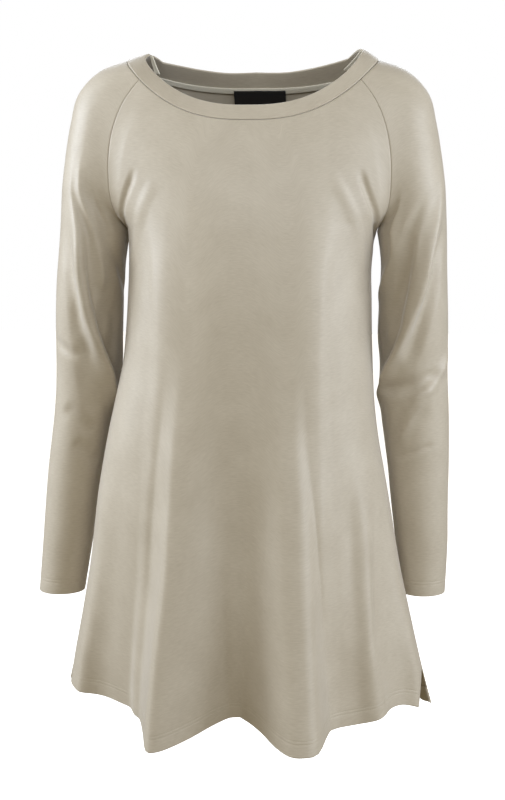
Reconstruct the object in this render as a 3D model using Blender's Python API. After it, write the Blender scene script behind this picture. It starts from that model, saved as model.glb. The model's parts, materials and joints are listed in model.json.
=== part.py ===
# Long-sleeved A-line top of smooth jersey, filled out as if worn, with nobody in it.
#
# The front faces -Y, the wearer's left is +X and up is +Z. The origin lies midway between the
# shoulders, at the height where the shoulders carry the neckline.
#
# One net of quads covers the whole garment: a torso tube that flares to the hem, and a raglan sleeve
# on each side that reaches up over the shoulder to the neckline. Panels are cut out of that net along
# the seams and thickened inwards, so neighbouring panels share their seam and stay a small gap apart.

import math
from collections import namedtuple

import bmesh
import bpy
import numpy as np

# Cloth
CLOTH = 0.0015
FOLDED_BAND = 0.0028
TAPE_CLOTH = 0.0010
LABEL_CLOTH = 0.0008
SEAM_GAP = 0.0004
LAID_GAP = 0.0004

# Net density
FRONT_COLUMNS = 50
BACK_COLUMNS = 32
SLEEVE_COLUMNS = 22
SKIRT_ROWS = 14
SHOULDER_ROWS = 8
ARM_ROWS = 14
LABEL_COLUMNS = 8
LABEL_ROWS = 3

# Heights
UNDERARM = -0.210
HEM = -0.822
SLIT_TOP = -0.768
FRONT_NECK = -0.073
BACK_NECK = -0.035

# Details
SIDE_SEAM_Y = 0.004
SLIT_SPREAD = 0.006
BACK_SLIT_FLARE = 0.005
BAND_HEIGHT = 0.024
RIGHT_TIP_RISE = 0.006
LEFT_TIP_RISE = -0.002
TAPE_WIDTH = 0.007
TAPE_DROP = 0.0012
TAPE_FRONT_Y = 0.010
LABEL_WIDTH = 0.066
LABEL_MIDDLE = 0.004
LABEL_TOP = 0.0022
LABEL_DROP = 0.026

# How sharply each row of the net creases under the arm, from the underarm point upwards.
CREASE_SHARES = (1.0, 1.0, 0.6, 0.2)
CREASE_GAP = 0.0003

# The torso's plain shape, before its folds: how far it reaches to each side, and how square it is.
TorsoRow = namedtuple("TorsoRow", "height right left roundness")
TORSO = [
    TorsoRow(-0.850, 0.2390, 0.2310, 2.05),
    TorsoRow(-0.790, 0.2370, 0.2225, 2.05),
    TorsoRow(-0.712, 0.2230, 0.2055, 2.10),
    TorsoRow(-0.634, 0.2095, 0.1885, 2.10),
    TorsoRow(-0.545, 0.1985, 0.1735, 2.15),
    TorsoRow(-0.450, 0.1810, 0.1570, 2.20),
    TorsoRow(-0.377, 0.1645, 0.1520, 2.25),
    TorsoRow(-0.300, 0.1575, 0.1500, 2.30),
    TorsoRow(-0.240, 0.1550, 0.1500, 2.30),
    TorsoRow(-0.210, 0.1555, 0.1555, 2.30),
]

# How deep the garment is at its middle, in front and behind, from the hem to the neckline.
MiddleRow = namedtuple("MiddleRow", "height front back")
MIDDLE = [
    MiddleRow(-0.850, -0.110, 0.122),
    MiddleRow(-0.700, -0.114, 0.119),
    MiddleRow(-0.560, -0.118, 0.112),
    MiddleRow(-0.430, -0.120, 0.104),
    MiddleRow(-0.330, -0.122, 0.102),
    MiddleRow(-0.270, -0.121, 0.104),
    MiddleRow(-0.210, -0.116, 0.106),
    MiddleRow(-0.160, -0.107, 0.104),
    MiddleRow(-0.110, -0.092, 0.096),
    MiddleRow(-0.073, -0.078, 0.083),
    MiddleRow(-0.035, -0.062, 0.066),
]

# Soft folds of the skirt. Angles run round from the centre front, positive towards the wearer's left,
# and each fold stands out towards the heading in its own column. A larger flatness widens its top.
Flute = namedtuple("Flute", "angle right_reach left_reach depth heading flatness top growth")
FLUTES = [
    Flute(-44, 26, 11, -0.024, -20, 1.8, -0.460, 1.3),
    Flute(-24, 8.5, 17, 0.067, -11, 1.15, -0.330, 1.5),
    Flute(-1, 14, 9, -0.028, 0, 1.2, -0.400, 1.4),
    Flute(18.5, 13, 8, 0.064, 3, 1.6, -0.360, 1.6),
    Flute(42, 12, 14, 0.005, 35, 1.2, -0.450, 1.4),
    Flute(64, 18, 16, -0.016, 50, 1.2, -0.480, 1.4),
    Flute(126, 22, 18, 0.028, 135, 1.3, -0.420, 1.5),
    Flute(149, 16, 15, -0.024, 160, 1.2, -0.430, 1.4),
    Flute(172, 20, 17, 0.044, 175, 1.4, -0.350, 1.5),
    Flute(196, 16, 17, -0.022, 190, 1.2, -0.430, 1.4),
    Flute(221, 19, 22, 0.036, 215, 1.4, -0.380, 1.5),
]

# Where the hem is lifted over its usual height.
Lift = namedtuple("Lift", "angle right_reach left_reach rise")
LIFTS = [
    Lift(-90, 60, 75, 0.026),
    Lift(-3, 22, 13, 0.009),
    Lift(55, 28, 60, 0.011),
]
HEM_SAG = 0.22

# Sections of a sleeve from the underarm up to the neckline. Each runs from the front raglan seam over
# the outer edge to the back raglan seam, as part of an ellipse that starts at the angle "start".
ShoulderRow = namedtuple("ShoulderRow", "front_x front_z back_x back_z outer_x outer_z mid_y depth start")
SHOULDER = [
    ShoulderRow(0.1555, -0.210, 0.1555, -0.210, 0.2430, -0.210, 0.004, 0.058, -90),
    ShoulderRow(0.1615, -0.199, 0.1605, -0.198, 0.2420, -0.186, 0.004, 0.058, -72),
    ShoulderRow(0.1680, -0.187, 0.1660, -0.185, 0.2405, -0.161, 0.003, 0.059, -50),
    ShoulderRow(0.1720, -0.169, 0.1700, -0.167, 0.2375, -0.135, 0.003, 0.061, -32),
    ShoulderRow(0.1735, -0.143, 0.1715, -0.141, 0.2335, -0.107, 0.002, 0.063, -16),
    ShoulderRow(0.1725, -0.112, 0.1700, -0.110, 0.2280, -0.077, 0.002, 0.063, -2),
    ShoulderRow(0.1670, -0.081, 0.1630, -0.077, 0.2185, -0.042, 0.002, 0.061, 10),
    ShoulderRow(0.1545, -0.050, 0.1490, -0.044, 0.1925, -0.014, 0.002, 0.056, 20),
    ShoulderRow(0.1355, -0.024, 0.1290, -0.018, 0.1560, 0.000, 0.002, 0.050, 28),
]

# Rings of a sleeve below the underarm: where its inner and outer edges are, and its depth.
ArmRow = namedtuple("ArmRow", "height inner outer mid_y depth")
RIGHT_ARM = [
    ArmRow(-0.210, 0.1555, 0.2430, 0.004, 0.0580),
    ArmRow(-0.245, 0.1620, 0.2470, 0.007, 0.0580),
    ArmRow(-0.290, 0.1650, 0.2515, 0.012, 0.0565),
    ArmRow(-0.340, 0.1675, 0.2540, 0.019, 0.0540),
    ArmRow(-0.400, 0.1720, 0.2560, 0.028, 0.0500),
    ArmRow(-0.450, 0.1840, 0.2605, 0.034, 0.0470),
    ArmRow(-0.510, 0.1965, 0.2690, 0.038, 0.0430),
    ArmRow(-0.565, 0.2065, 0.2750, 0.041, 0.0400),
    ArmRow(-0.620, 0.2150, 0.2800, 0.043, 0.0370),
    ArmRow(-0.686, 0.2265, 0.2865, 0.046, 0.0330),
]
LEFT_ARM = [
    ArmRow(-0.210, 0.1555, 0.2430, 0.004, 0.0580),
    ArmRow(-0.245, 0.1605, 0.2435, 0.008, 0.0580),
    ArmRow(-0.290, 0.1595, 0.2450, 0.017, 0.0565),
    ArmRow(-0.340, 0.1570, 0.2465, 0.028, 0.0540),
    ArmRow(-0.385, 0.1600, 0.2450, 0.036, 0.0500),
    ArmRow(-0.420, 0.1595, 0.2480, 0.041, 0.0490),
    ArmRow(-0.465, 0.1645, 0.2495, 0.046, 0.0460),
    ArmRow(-0.510, 0.1705, 0.2500, 0.051, 0.0430),
    ArmRow(-0.565, 0.1760, 0.2495, 0.056, 0.0400),
    ArmRow(-0.620, 0.1825, 0.2500, 0.062, 0.0370),
    ArmRow(-0.684, 0.1890, 0.2475, 0.067, 0.0330),
]

# Creases that wind down a sleeve. Angles run round the sleeve from the underarm seam, over the front.
Crease = namedtuple("Crease", "top top_angle foot foot_angle reach depth")
RIGHT_CREASES = [
    Crease(-0.120, 135, -0.440, 34, 26, 0.0065),
    Crease(-0.140, 98, -0.420, 8, 26, -0.0085),
    Crease(-0.150, 250, -0.400, 330, 28, 0.0060),
    Crease(-0.170, 290, -0.380, 355, 26, -0.0060),
]
LEFT_CREASES = [
    Crease(-0.120, 165, -0.420, 32, 27, 0.0070),
    Crease(-0.150, 112, -0.400, 12, 27, -0.0085),
    Crease(-0.365, 190, -0.450, 50, 30, 0.0050),
    Crease(-0.150, 235, -0.400, 325, 28, 0.0060),
    Crease(-0.170, 275, -0.380, 350, 26, -0.0060),
]

# How far the neckband leans inwards from upright, round the neckline from front to back.
LeanRow = namedtuple("LeanRow", "angle right left")
LEAN = [
    LeanRow(0, 42, 42),
    LeanRow(60, 48, 44),
    LeanRow(90, 74, 57),
    LeanRow(120, 44, 38),
    LeanRow(180, 25, 25),
]

TORSO_PANELS = ["front", "back"]

# Reaches, in degrees round the garment
SLIT_REACH = 14
TIP_REACH = 9

# How the chest's rows change upwards: how soon their ends straighten, and how far they dip.
CHEST_STRAIGHTENING = 2.2
UNDERARM_SMILE = 2
NECK_SMILE = 2.6

# How quickly a sleeve's creases fade towards their ends.
CREASE_TAPER = 1.3

# How the net is evened beside the raglan seams: from which row, how much at each step away from the
# seam, and how many times.
EVEN_FROM_ROW = 3
EVEN_SHARES = (0.6, 0.5, 0.4, 0.25)
EVEN_ROUNDS = 12

# Limits
LEAST_CORNER = 0.5
SHARP_ANGLE = 50

BEIGE = (0.56, 0.50, 0.40)
TAPE_BEIGE = (0.66, 0.60, 0.50)
LABEL_BLACK = (0.02, 0.02, 0.025)


def read(table, column, at):
    """The column's value at that place along the table's first column, on a smooth curve."""
    rows = sorted(table)
    return smooth_read([row[0] for row in rows], [getattr(row, column) for row in rows], at)


def smooth_read(xs, ys, at):
    """The value at a place between known ones, by a cubic through each pair with averaged slopes."""
    last = len(xs) - 1
    k = min(max(int(np.searchsorted(xs, at)) - 1, 0), last - 1)
    span = xs[k + 1] - xs[k]

    def slope(i):
        a, b = max(i - 1, 0), min(i + 1, last)
        return (ys[b] - ys[a]) / (xs[b] - xs[a])

    t = (at - xs[k]) / span
    return (
        ys[k] * (2 * t**3 - 3 * t**2 + 1)
        + ys[k + 1] * (3 * t**2 - 2 * t**3)
        + span * slope(k) * (t**3 - 2 * t**2 + t)
        + span * slope(k + 1) * (t**3 - t**2)
    )


def hill(offset, reach_below, reach_above, flatness=1.0):
    """A soft hill: 1 at no offset, 0 beyond the reach on that side. Flatness widens its top."""
    share = abs(offset) / (reach_below if offset < 0 else reach_above)
    return math.cos(share**flatness * math.pi / 2) ** 2 if share < 1 else 0.0


def turned(angle):
    """The angle brought between -180 and 180 degrees."""
    return (angle + 180) % 360 - 180


def signed_power(value, power):
    return math.copysign(abs(value) ** power, value)


def flute_push(angle, height):
    """How far the skirt's folds push a point there, sideways and forwards."""
    push = np.zeros(3)
    for flute in FLUTES:
        if height < flute.top:
            grown = ((flute.top - height) / (flute.top - HEM)) ** flute.growth
            offset = turned(angle - flute.angle)
            near = hill(offset, flute.right_reach, flute.left_reach, flute.flatness)
            heading = math.radians(flute.heading)
            push += flute.depth * grown * near * np.array([math.sin(heading), -math.cos(heading), 0])
    return push


def hem_height(angle):
    """The hem hangs lower where the skirt stands out."""
    out = flute_push(angle, HEM) @ (math.sin(math.radians(angle)), -math.cos(math.radians(angle)), 0)
    height = HEM - HEM_SAG * out
    for lift in LIFTS:
        height += lift.rise * hill(turned(angle - lift.angle), lift.right_reach, lift.left_reach)
    return height


def torso_point(angle, height):
    """A point of the torso tube. The angle is 0 at the centre front and 90 at the wearer's left side."""
    s, c = math.sin(math.radians(angle)), math.cos(math.radians(angle))
    power = 2 / read(TORSO, "roundness", height)
    half_width = read(TORSO, "left" if s > 0 else "right", height)
    middle = read(MIDDLE, "front" if c > 0 else "back", height)
    x = half_width * signed_power(s, power)
    y = SIDE_SEAM_Y + (middle - SIDE_SEAM_Y) * abs(c) ** power
    return np.array([x, y, height]) + flute_push(angle, height)


def slit_open(point, angle, back):
    """Below its top, the slit's front and back edges part, and the back edge stands out a little."""
    side = hill(abs(turned(angle)) - 90, SLIT_REACH, SLIT_REACH)
    if point[2] >= SLIT_TOP or side == 0:
        return point
    share = (SLIT_TOP - point[2]) / (SLIT_TOP - HEM) * side
    spread = SLIT_SPREAD * share * (1 if back else -1)
    flare = math.copysign(BACK_SLIT_FLARE * share, point[0]) if back else 0
    return point + (flare, spread, 0)


def skirt_row(row, columns, back):
    """A row of a body panel, which runs level underarm and follows the hem's dips at the hem."""
    points = []
    for column in range(columns + 1):
        angle = (90 if back else -90) + 180 * column / columns
        low = hem_height(angle)
        height = low + (UNDERARM - low) * row / SKIRT_ROWS
        points.append(slit_open(torso_point(angle, height), angle, back))
    return points


def shoulder_point(row, share, side):
    """A point of a sleeve's section above the underarm, from the front seam at 0 to the back at 1."""
    at = row / SHOULDER_ROWS * (len(SHOULDER) - 1)
    places = range(len(SHOULDER))
    section = ShoulderRow(*[smooth_read(places, column, at) for column in zip(*SHOULDER)])
    start = math.radians(section.start)
    angle = start + (math.pi - 2 * start) * share
    front = np.array([section.front_x, section.front_z])
    rear = np.array([section.back_x, section.back_z])
    outer = np.array([section.outer_x, section.outer_z])
    rise = (outer - (front + rear) / 2) / (1 - math.sin(start))
    x, z = outer + rise * (math.sin(angle) - 1) + (front - rear) * (0.5 - share)
    y = section.mid_y - section.depth * math.cos(angle)
    return np.array([side * x, y, z])


def chest_row(row, columns, back):
    """A row of a body panel above the underarm, from seam to seam and curved down to the neckline."""
    share = row / SHOULDER_ROWS
    right, left = [shoulder_point(row, 1.0 if back else 0.0, side) for side in (-1, 1)]
    middle_z = UNDERARM + ((BACK_NECK if back else FRONT_NECK) - UNDERARM) * share
    middle_y = read(MIDDLE, "back" if back else "front", middle_z)
    roundness = read(TORSO, "roundness", UNDERARM)
    steepness = 1 / (roundness + (1 - roundness) * min(share * CHEST_STRAIGHTENING, 1))
    smile = UNDERARM_SMILE + (NECK_SMILE - UNDERARM_SMILE) * share
    points = []
    for column in range(columns + 1):
        even = 2 * column / columns - 1
        tight = signed_power(math.sin(even * math.pi / 2), 2 / roundness)
        across = tight + (even - tight) * share
        end = left if across > 0 else right
        reach = abs(across)
        arch = (1 - reach**roundness) ** steepness
        x = abs(end[0]) * across
        y = end[1] + (middle_y - end[1]) * arch
        points.append(np.array([x, y, middle_z + (end[2] - middle_z) * reach**smile]))
    return points[::-1] if back else points


def body_panel(columns, back):
    """The front or the back as rows of points, from the hem up to the neckline."""
    skirt = [skirt_row(row, columns, back) for row in range(SKIRT_ROWS)]
    return skirt + [chest_row(row, columns, back) for row in range(SHOULDER_ROWS + 1)]


def crease_rise(creases, angle, height):
    """How far a sleeve stands out or in at that place, by the creases that wind down it."""
    rise = 0.0
    for crease in creases:
        share = (crease.top - height) / (crease.top - crease.foot)
        if 0 < share < 1:
            centre = crease.top_angle + (crease.foot_angle - crease.top_angle) * share
            near = hill(turned(angle - centre), crease.reach, crease.reach)
            rise += crease.depth * math.sin(share * math.pi) ** CREASE_TAPER * near
    return rise


def arm_point(row, share, side):
    """A point of a sleeve below the underarm. The share runs round from the seam, over the front."""
    table = LEFT_ARM if side > 0 else RIGHT_ARM
    height = UNDERARM + (table[-1].height - UNDERARM) * row / ARM_ROWS
    inner, outer = read(table, "inner", height), read(table, "outer", height)
    angle = 2 * math.pi * share
    x = (inner + outer) / 2 - (outer - inner) / 2 * math.cos(angle)
    y = read(table, "mid_y", height) - read(table, "depth", height) * math.sin(angle)
    return np.array([side * x, y, height])


def sleeve_panel(side):
    """A sleeve as rows of points, from the cuff up to the neckline."""
    shares = [column / SLEEVE_COLUMNS for column in range(SLEEVE_COLUMNS + 1)]
    rows = [[arm_point(row, share, side) for share in shares] for row in range(ARM_ROWS, 0, -1)]
    rows += [[shoulder_point(row, share, side) for share in shares] for row in range(SHOULDER_ROWS + 1)]
    for points in rows:
        centre = np.mean(points, axis=0)
        for share, point in zip(shares[1:-1], points[1:-1]):
            outward = (point - centre) * (1, 1, 0)
            rise = crease_rise(LEFT_CREASES if side > 0 else RIGHT_CREASES, 360 * share, point[2])
            point += outward / np.linalg.norm(outward) * rise
    return rows


class Net:
    """Points shared by the panels, and each panel's quads."""

    def __init__(self):
        self.points = []
        self.found = {}
        self.panels = {}

    def add_panel(self, name, rows, facing):
        """Adds a grid of points. Facing says which way round its quads run, so that they face out.

        A quad's first and third corners are its fold line, which leans towards the panel's middle
        column at the bottom on one side and away from it on the other, as the creases do.
        """
        grid = [[self.number(point) for point in points] for points in rows]
        quads = []
        for low, high in zip(grid, grid[1:]):
            for k in range(len(low) - 1):
                quad = [low[k], low[k + 1], high[k + 1], high[k]]
                if k >= (len(low) - 1) / 2:
                    quad = quad[1:] + quad[:1]
                quads.append(quad if facing > 0 else [quad[0], quad[3], quad[2], quad[1]])
        self.panels[name] = quads
        return grid

    def number(self, point):
        key = tuple(np.round(point, 6))
        if key not in self.found:
            self.found[key] = len(self.points)
            self.points.append(point)
        return self.found[key]

    def relax(self, shares, rounds):
        """Evens out the depth of the listed points, so that panels meet smoothly at a seam."""
        neighbours = {k: set() for k in shares}
        for quads in self.panels.values():
            for quad in quads:
                for a, b in zip(quad, quad[1:] + quad[:1]):
                    neighbours.get(a, set()).add(b)
                    neighbours.get(b, set()).add(a)
        for _ in range(rounds):
            level = {k: np.mean([self.points[n][1] for n in neighbours[k]]) for k in shares}
            for k, share in shares.items():
                self.points[k][1] += (level[k] - self.points[k][1]) * share

    def normals(self, panels):
        """The outward normal at each point of those panels, evened over their faces round it."""
        sums = np.zeros((len(self.points), 3))
        for name in panels:
            for quad in self.panels[name]:
                a, b, c, d = [self.points[k] for k in quad]
                sums[quad] += np.cross(c - a, d - b)
        lengths = np.linalg.norm(sums, axis=1)
        return sums / np.where(lengths > 0, lengths, 1)[:, None]


def build_net():
    """The garment's net, with the points round its neckline, those below them, and the armpit creases."""
    net = Net()
    front = net.add_panel("front", body_panel(FRONT_COLUMNS, False), 1)
    back = net.add_panel("back", body_panel(BACK_COLUMNS, True), 1)
    right = net.add_panel("sleeve_right", sleeve_panel(-1), -1)
    left = net.add_panel("sleeve_left", sleeve_panel(1), 1)
    shares = {}
    for grid in (front, back, right, left):
        for points in grid[-SHOULDER_ROWS - 1 :][EVEN_FROM_ROW:-1]:
            for step, share in enumerate(EVEN_SHARES):
                shares[points[step]] = share
                shares[points[-1 - step]] = share
    net.relax(shares, EVEN_ROUNDS)
    neckline = [k for row in (front[-1], left[-1], back[-1], right[-1][::-1]) for k in row[1:]]
    below = [k for row in (front[-2], left[-2], back[-2], right[-2][::-1]) for k in row[1:]]
    creases = {}
    for row, share in enumerate(CREASE_SHARES):
        for grid in (front, back):
            creases[grid[SKIRT_ROWS + row][0]] = share
            creases[grid[SKIRT_ROWS + row][-1]] = share
    return net, neckline, below, creases


def unit(vector):
    return vector / np.linalg.norm(vector)


def edge_shifts(points, quads, gap):
    """How far each point on a panel's edge steps into the panel, to leave that gap along the edge."""
    owners = {}
    for quad in quads:
        for a, b in zip(quad, quad[1:] + quad[:1]):
            owners.setdefault(frozenset((a, b)), []).append((a, b, quad))
    ways = {}
    for a, b, quad in [faces[0] for faces in owners.values() if len(faces) == 1]:
        along = unit(points[b] - points[a])
        towards = np.mean([points[k] for k in quad], axis=0) - (points[a] + points[b]) / 2
        into = unit(towards - along * (towards @ along))
        ways.setdefault(a, []).append(into)
        ways.setdefault(b, []).append(into)
    return {k: gap * (one + two) / max(1 + one @ two, LEAST_CORNER) for k, (one, two) in ways.items()}


def thicken(name, points, normals, quads, material):
    """A panel's closed solid: its outer face, the same face moved in, and a rim along every edge."""
    shifts = edge_shifts(points, quads, SEAM_GAP / 2)
    mesh = bmesh.new()
    outer, inner = {}, {}
    for k in sorted({k for quad in quads for k in quad}):
        place = points[k] + shifts.get(k, 0)
        outer[k] = mesh.verts.new(place)
        inner[k] = mesh.verts.new(place - normals[k] * CLOTH)
    edges = set()
    for a, b, c, d in quads:
        for triangle in ((a, b, c), (a, c, d)):
            mesh.faces.new([outer[k] for k in triangle])
            mesh.faces.new([inner[k] for k in reversed(triangle)])
        edges.update([(a, b), (b, c), (c, d), (d, a)])
    for a, b in sorted(edges):
        if (b, a) not in edges:
            mesh.faces.new([outer[b], outer[a], inner[a], inner[b]])
    return make_object(name, mesh, material)


def sweep(name, sections, material):
    """A closed solid through sections with the same number of points, with a face over each end."""
    mesh = bmesh.new()
    rings = [[mesh.verts.new(point) for point in section] for section in sections]
    for one, two in zip(rings, rings[1:]):
        for k in range(len(one)):
            mesh.faces.new([one[k], one[k - 1], two[k - 1], two[k]])
    mesh.faces.new(rings[0])
    mesh.faces.new(rings[-1][::-1])
    bmesh.ops.recalc_face_normals(mesh, faces=mesh.faces)
    return make_object(name, mesh, material)


def make_object(name, mesh, material):
    """Makes the object of a finished mesh, shaded smooth but for its sharp rims."""
    data = bpy.data.meshes.new(name)
    mesh.to_mesh(data)
    mesh.free()
    data.materials.append(material)
    data.shade_smooth()
    data.set_sharp_from_angle(angle=math.radians(SHARP_ANGLE))
    made = bpy.data.objects.new(name, data)
    bpy.context.scene.collection.objects.link(made)
    return made


def plan_angle(point):
    """The point's angle round the neck: 0 in front, 90 at the wearer's left and 180 behind."""
    return math.degrees(math.atan2(point[0], -point[1]))


def band_sections(points, normals, neckline):
    """Sections of the folded neckband, all round: it stands on the neckline and leans inwards."""
    reach = np.max(np.abs(points[neckline]), axis=0)
    sections = []
    for k in neckline:
        foot, out = points[k], normals[k]
        angle = abs(plan_angle(foot))
        left = foot[0] > 0
        lean = math.radians(read(LEAN, "left" if left else "right", angle))
        inward = -unit(np.array([foot[0] / reach[0] ** 2, foot[1] / reach[1] ** 2, 0]))
        up = inward * math.sin(lean) + np.array([0, 0, math.cos(lean)])
        side = unit(np.array([0, 0, 1]) * math.sin(lean) - inward * math.cos(lean))
        tip_rise = LEFT_TIP_RISE if left else RIGHT_TIP_RISE
        tall = BAND_HEIGHT + tip_rise * hill(angle - 90, TIP_REACH, TIP_REACH)
        half = FOLDED_BAND / 2
        lift = np.array([0, 0, SEAM_GAP / 2]) + up * SEAM_GAP / 2
        middle = foot + up * tall / 2
        top = foot + up * (tall - half)
        sections.append(
            [
                foot + out * (half - CLOTH / 2) + lift,
                middle + side * (half - CLOTH / 2),
                top + side * (half - CLOTH / 2),
                top + up * half - side * CLOTH / 2,
                top - side * (half + CLOTH / 2),
                middle - side * (half + CLOTH / 2),
                foot - out * (half + CLOTH / 2) + lift,
            ]
        )
    return sections


def make_neckband(points, normals, neckline, material):
    """The front and back neckbands, which meet over each shoulder."""
    sections = band_sections(points, normals, neckline)
    angles = [plan_angle(points[k]) for k in neckline]
    right = min(range(len(angles)), key=lambda k: abs(angles[k] + 90))
    left = min(range(len(angles)), key=lambda k: abs(angles[k] - 90))
    loop = sections[right:] + sections[:right]
    split = (left - right) % len(loop)
    for name, run in (("neckband_front", loop[: split + 1]), ("neckband_back", loop[split:] + loop[:1])):
        run = [np.array(section) for section in run]
        for end, beside in ((0, 1), (-1, -2)):
            run[end] = run[end] + unit((run[beside] - run[end]).mean(axis=0)) * SEAM_GAP / 2
        sweep(name, run, material)


def under_neckline(net_data, place, drop, depth):
    """The point that far below the neckline and that far inside the cloth's outer face.

    The place counts along the neckline's points, and lies between two of them if it isn't whole.
    """
    points, normals, neckline, below = net_data
    first = math.floor(place)
    found = []
    for k in (first, first + 1):
        top, low = neckline[k % len(neckline)], below[k % len(below)]
        share = drop / np.linalg.norm(points[low] - points[top])
        out = unit(normals[top] + (normals[low] - normals[top]) * share)
        found.append(points[top] + (points[low] - points[top]) * share - out * depth)
    return found[0] + (found[1] - found[0]) * (place - first)


def make_inside_strip(name, places, net_data, drops, depth, thickness, material):
    """A strip laid on the inside of the neckline. Each section has a place for each drop below it."""
    sections = []
    for row in places:
        spots = list(zip(row, drops))
        outer = [under_neckline(net_data, place, drop, depth) for place, drop in spots]
        deeper = depth + thickness
        inner = [under_neckline(net_data, place, drop, deeper) for place, drop in reversed(spots)]
        sections.append(outer + inner)
    sweep(name, sections, material)


def make_tape(net_data, behind, material):
    """The narrow tape that covers the back neckline's seam, inside."""
    drops = [TAPE_DROP, TAPE_DROP + TAPE_WIDTH]
    places = [[k, k] for k in behind]
    make_inside_strip("neck_tape", places, net_data, drops, CLOTH + LAID_GAP, TAPE_CLOTH, material)


def make_label(net_data, behind, material):
    """The woven label, which hangs straight from the tape at the back."""
    depth = CLOTH + LAID_GAP + TAPE_CLOTH + LAID_GAP
    drops = [LABEL_TOP + (LABEL_DROP - LABEL_TOP) * row / LABEL_ROWS for row in range(LABEL_ROWS + 1)]
    across = [[-under_neckline(net_data, k, drop, depth)[0] for k in behind] for drop in drops]
    edges = [LABEL_MIDDLE - LABEL_WIDTH * (k / LABEL_COLUMNS - 0.5) for k in range(LABEL_COLUMNS + 1)]
    places = [[float(np.interp(-x, row, behind)) for row in across] for x in edges]
    make_inside_strip("label", places, net_data, drops, depth, LABEL_CLOTH, material)


def make_material(name, colour, roughness):
    material = bpy.data.materials.new(name)
    material.use_nodes = True
    shader = material.node_tree.nodes["Principled BSDF"]
    shader.inputs["Base Color"].default_value = (*colour, 1)
    shader.inputs["Roughness"].default_value = roughness
    shader.inputs["Metallic"].default_value = 0
    return material


def main():
    for old in list(bpy.data.objects):
        bpy.data.objects.remove(old)
    jersey = make_material("jersey", BEIGE, 0.8)
    net, neckline, below, creases = build_net()
    points, normals = np.array(net.points), net.normals(net.panels)
    groups = {"front": TORSO_PANELS, "back": TORSO_PANELS}
    for name, quads in net.panels.items():
        own = net.normals(groups.get(name, [name]))
        panel_points, panel_normals = points.copy(), normals.copy()
        for k, share in creases.items():
            if not own[k].any():
                continue
            panel_points[k] -= own[k] * share * CREASE_GAP
            panel_normals[k] = unit(normals[k] + (own[k] - normals[k]) * share)
        thicken(name, panel_points, panel_normals, quads, jersey)
    make_neckband(points, normals, neckline, jersey)
    net_data = (points, normals, neckline, below)
    behind = [k for k, n in enumerate(neckline) if points[n][1] > TAPE_FRONT_Y]
    make_tape(net_data, behind, make_material("tape", TAPE_BEIGE, 0.8))
    make_label(net_data, behind, make_material("woven_label", LABEL_BLACK, 0.6))


main()
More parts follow.
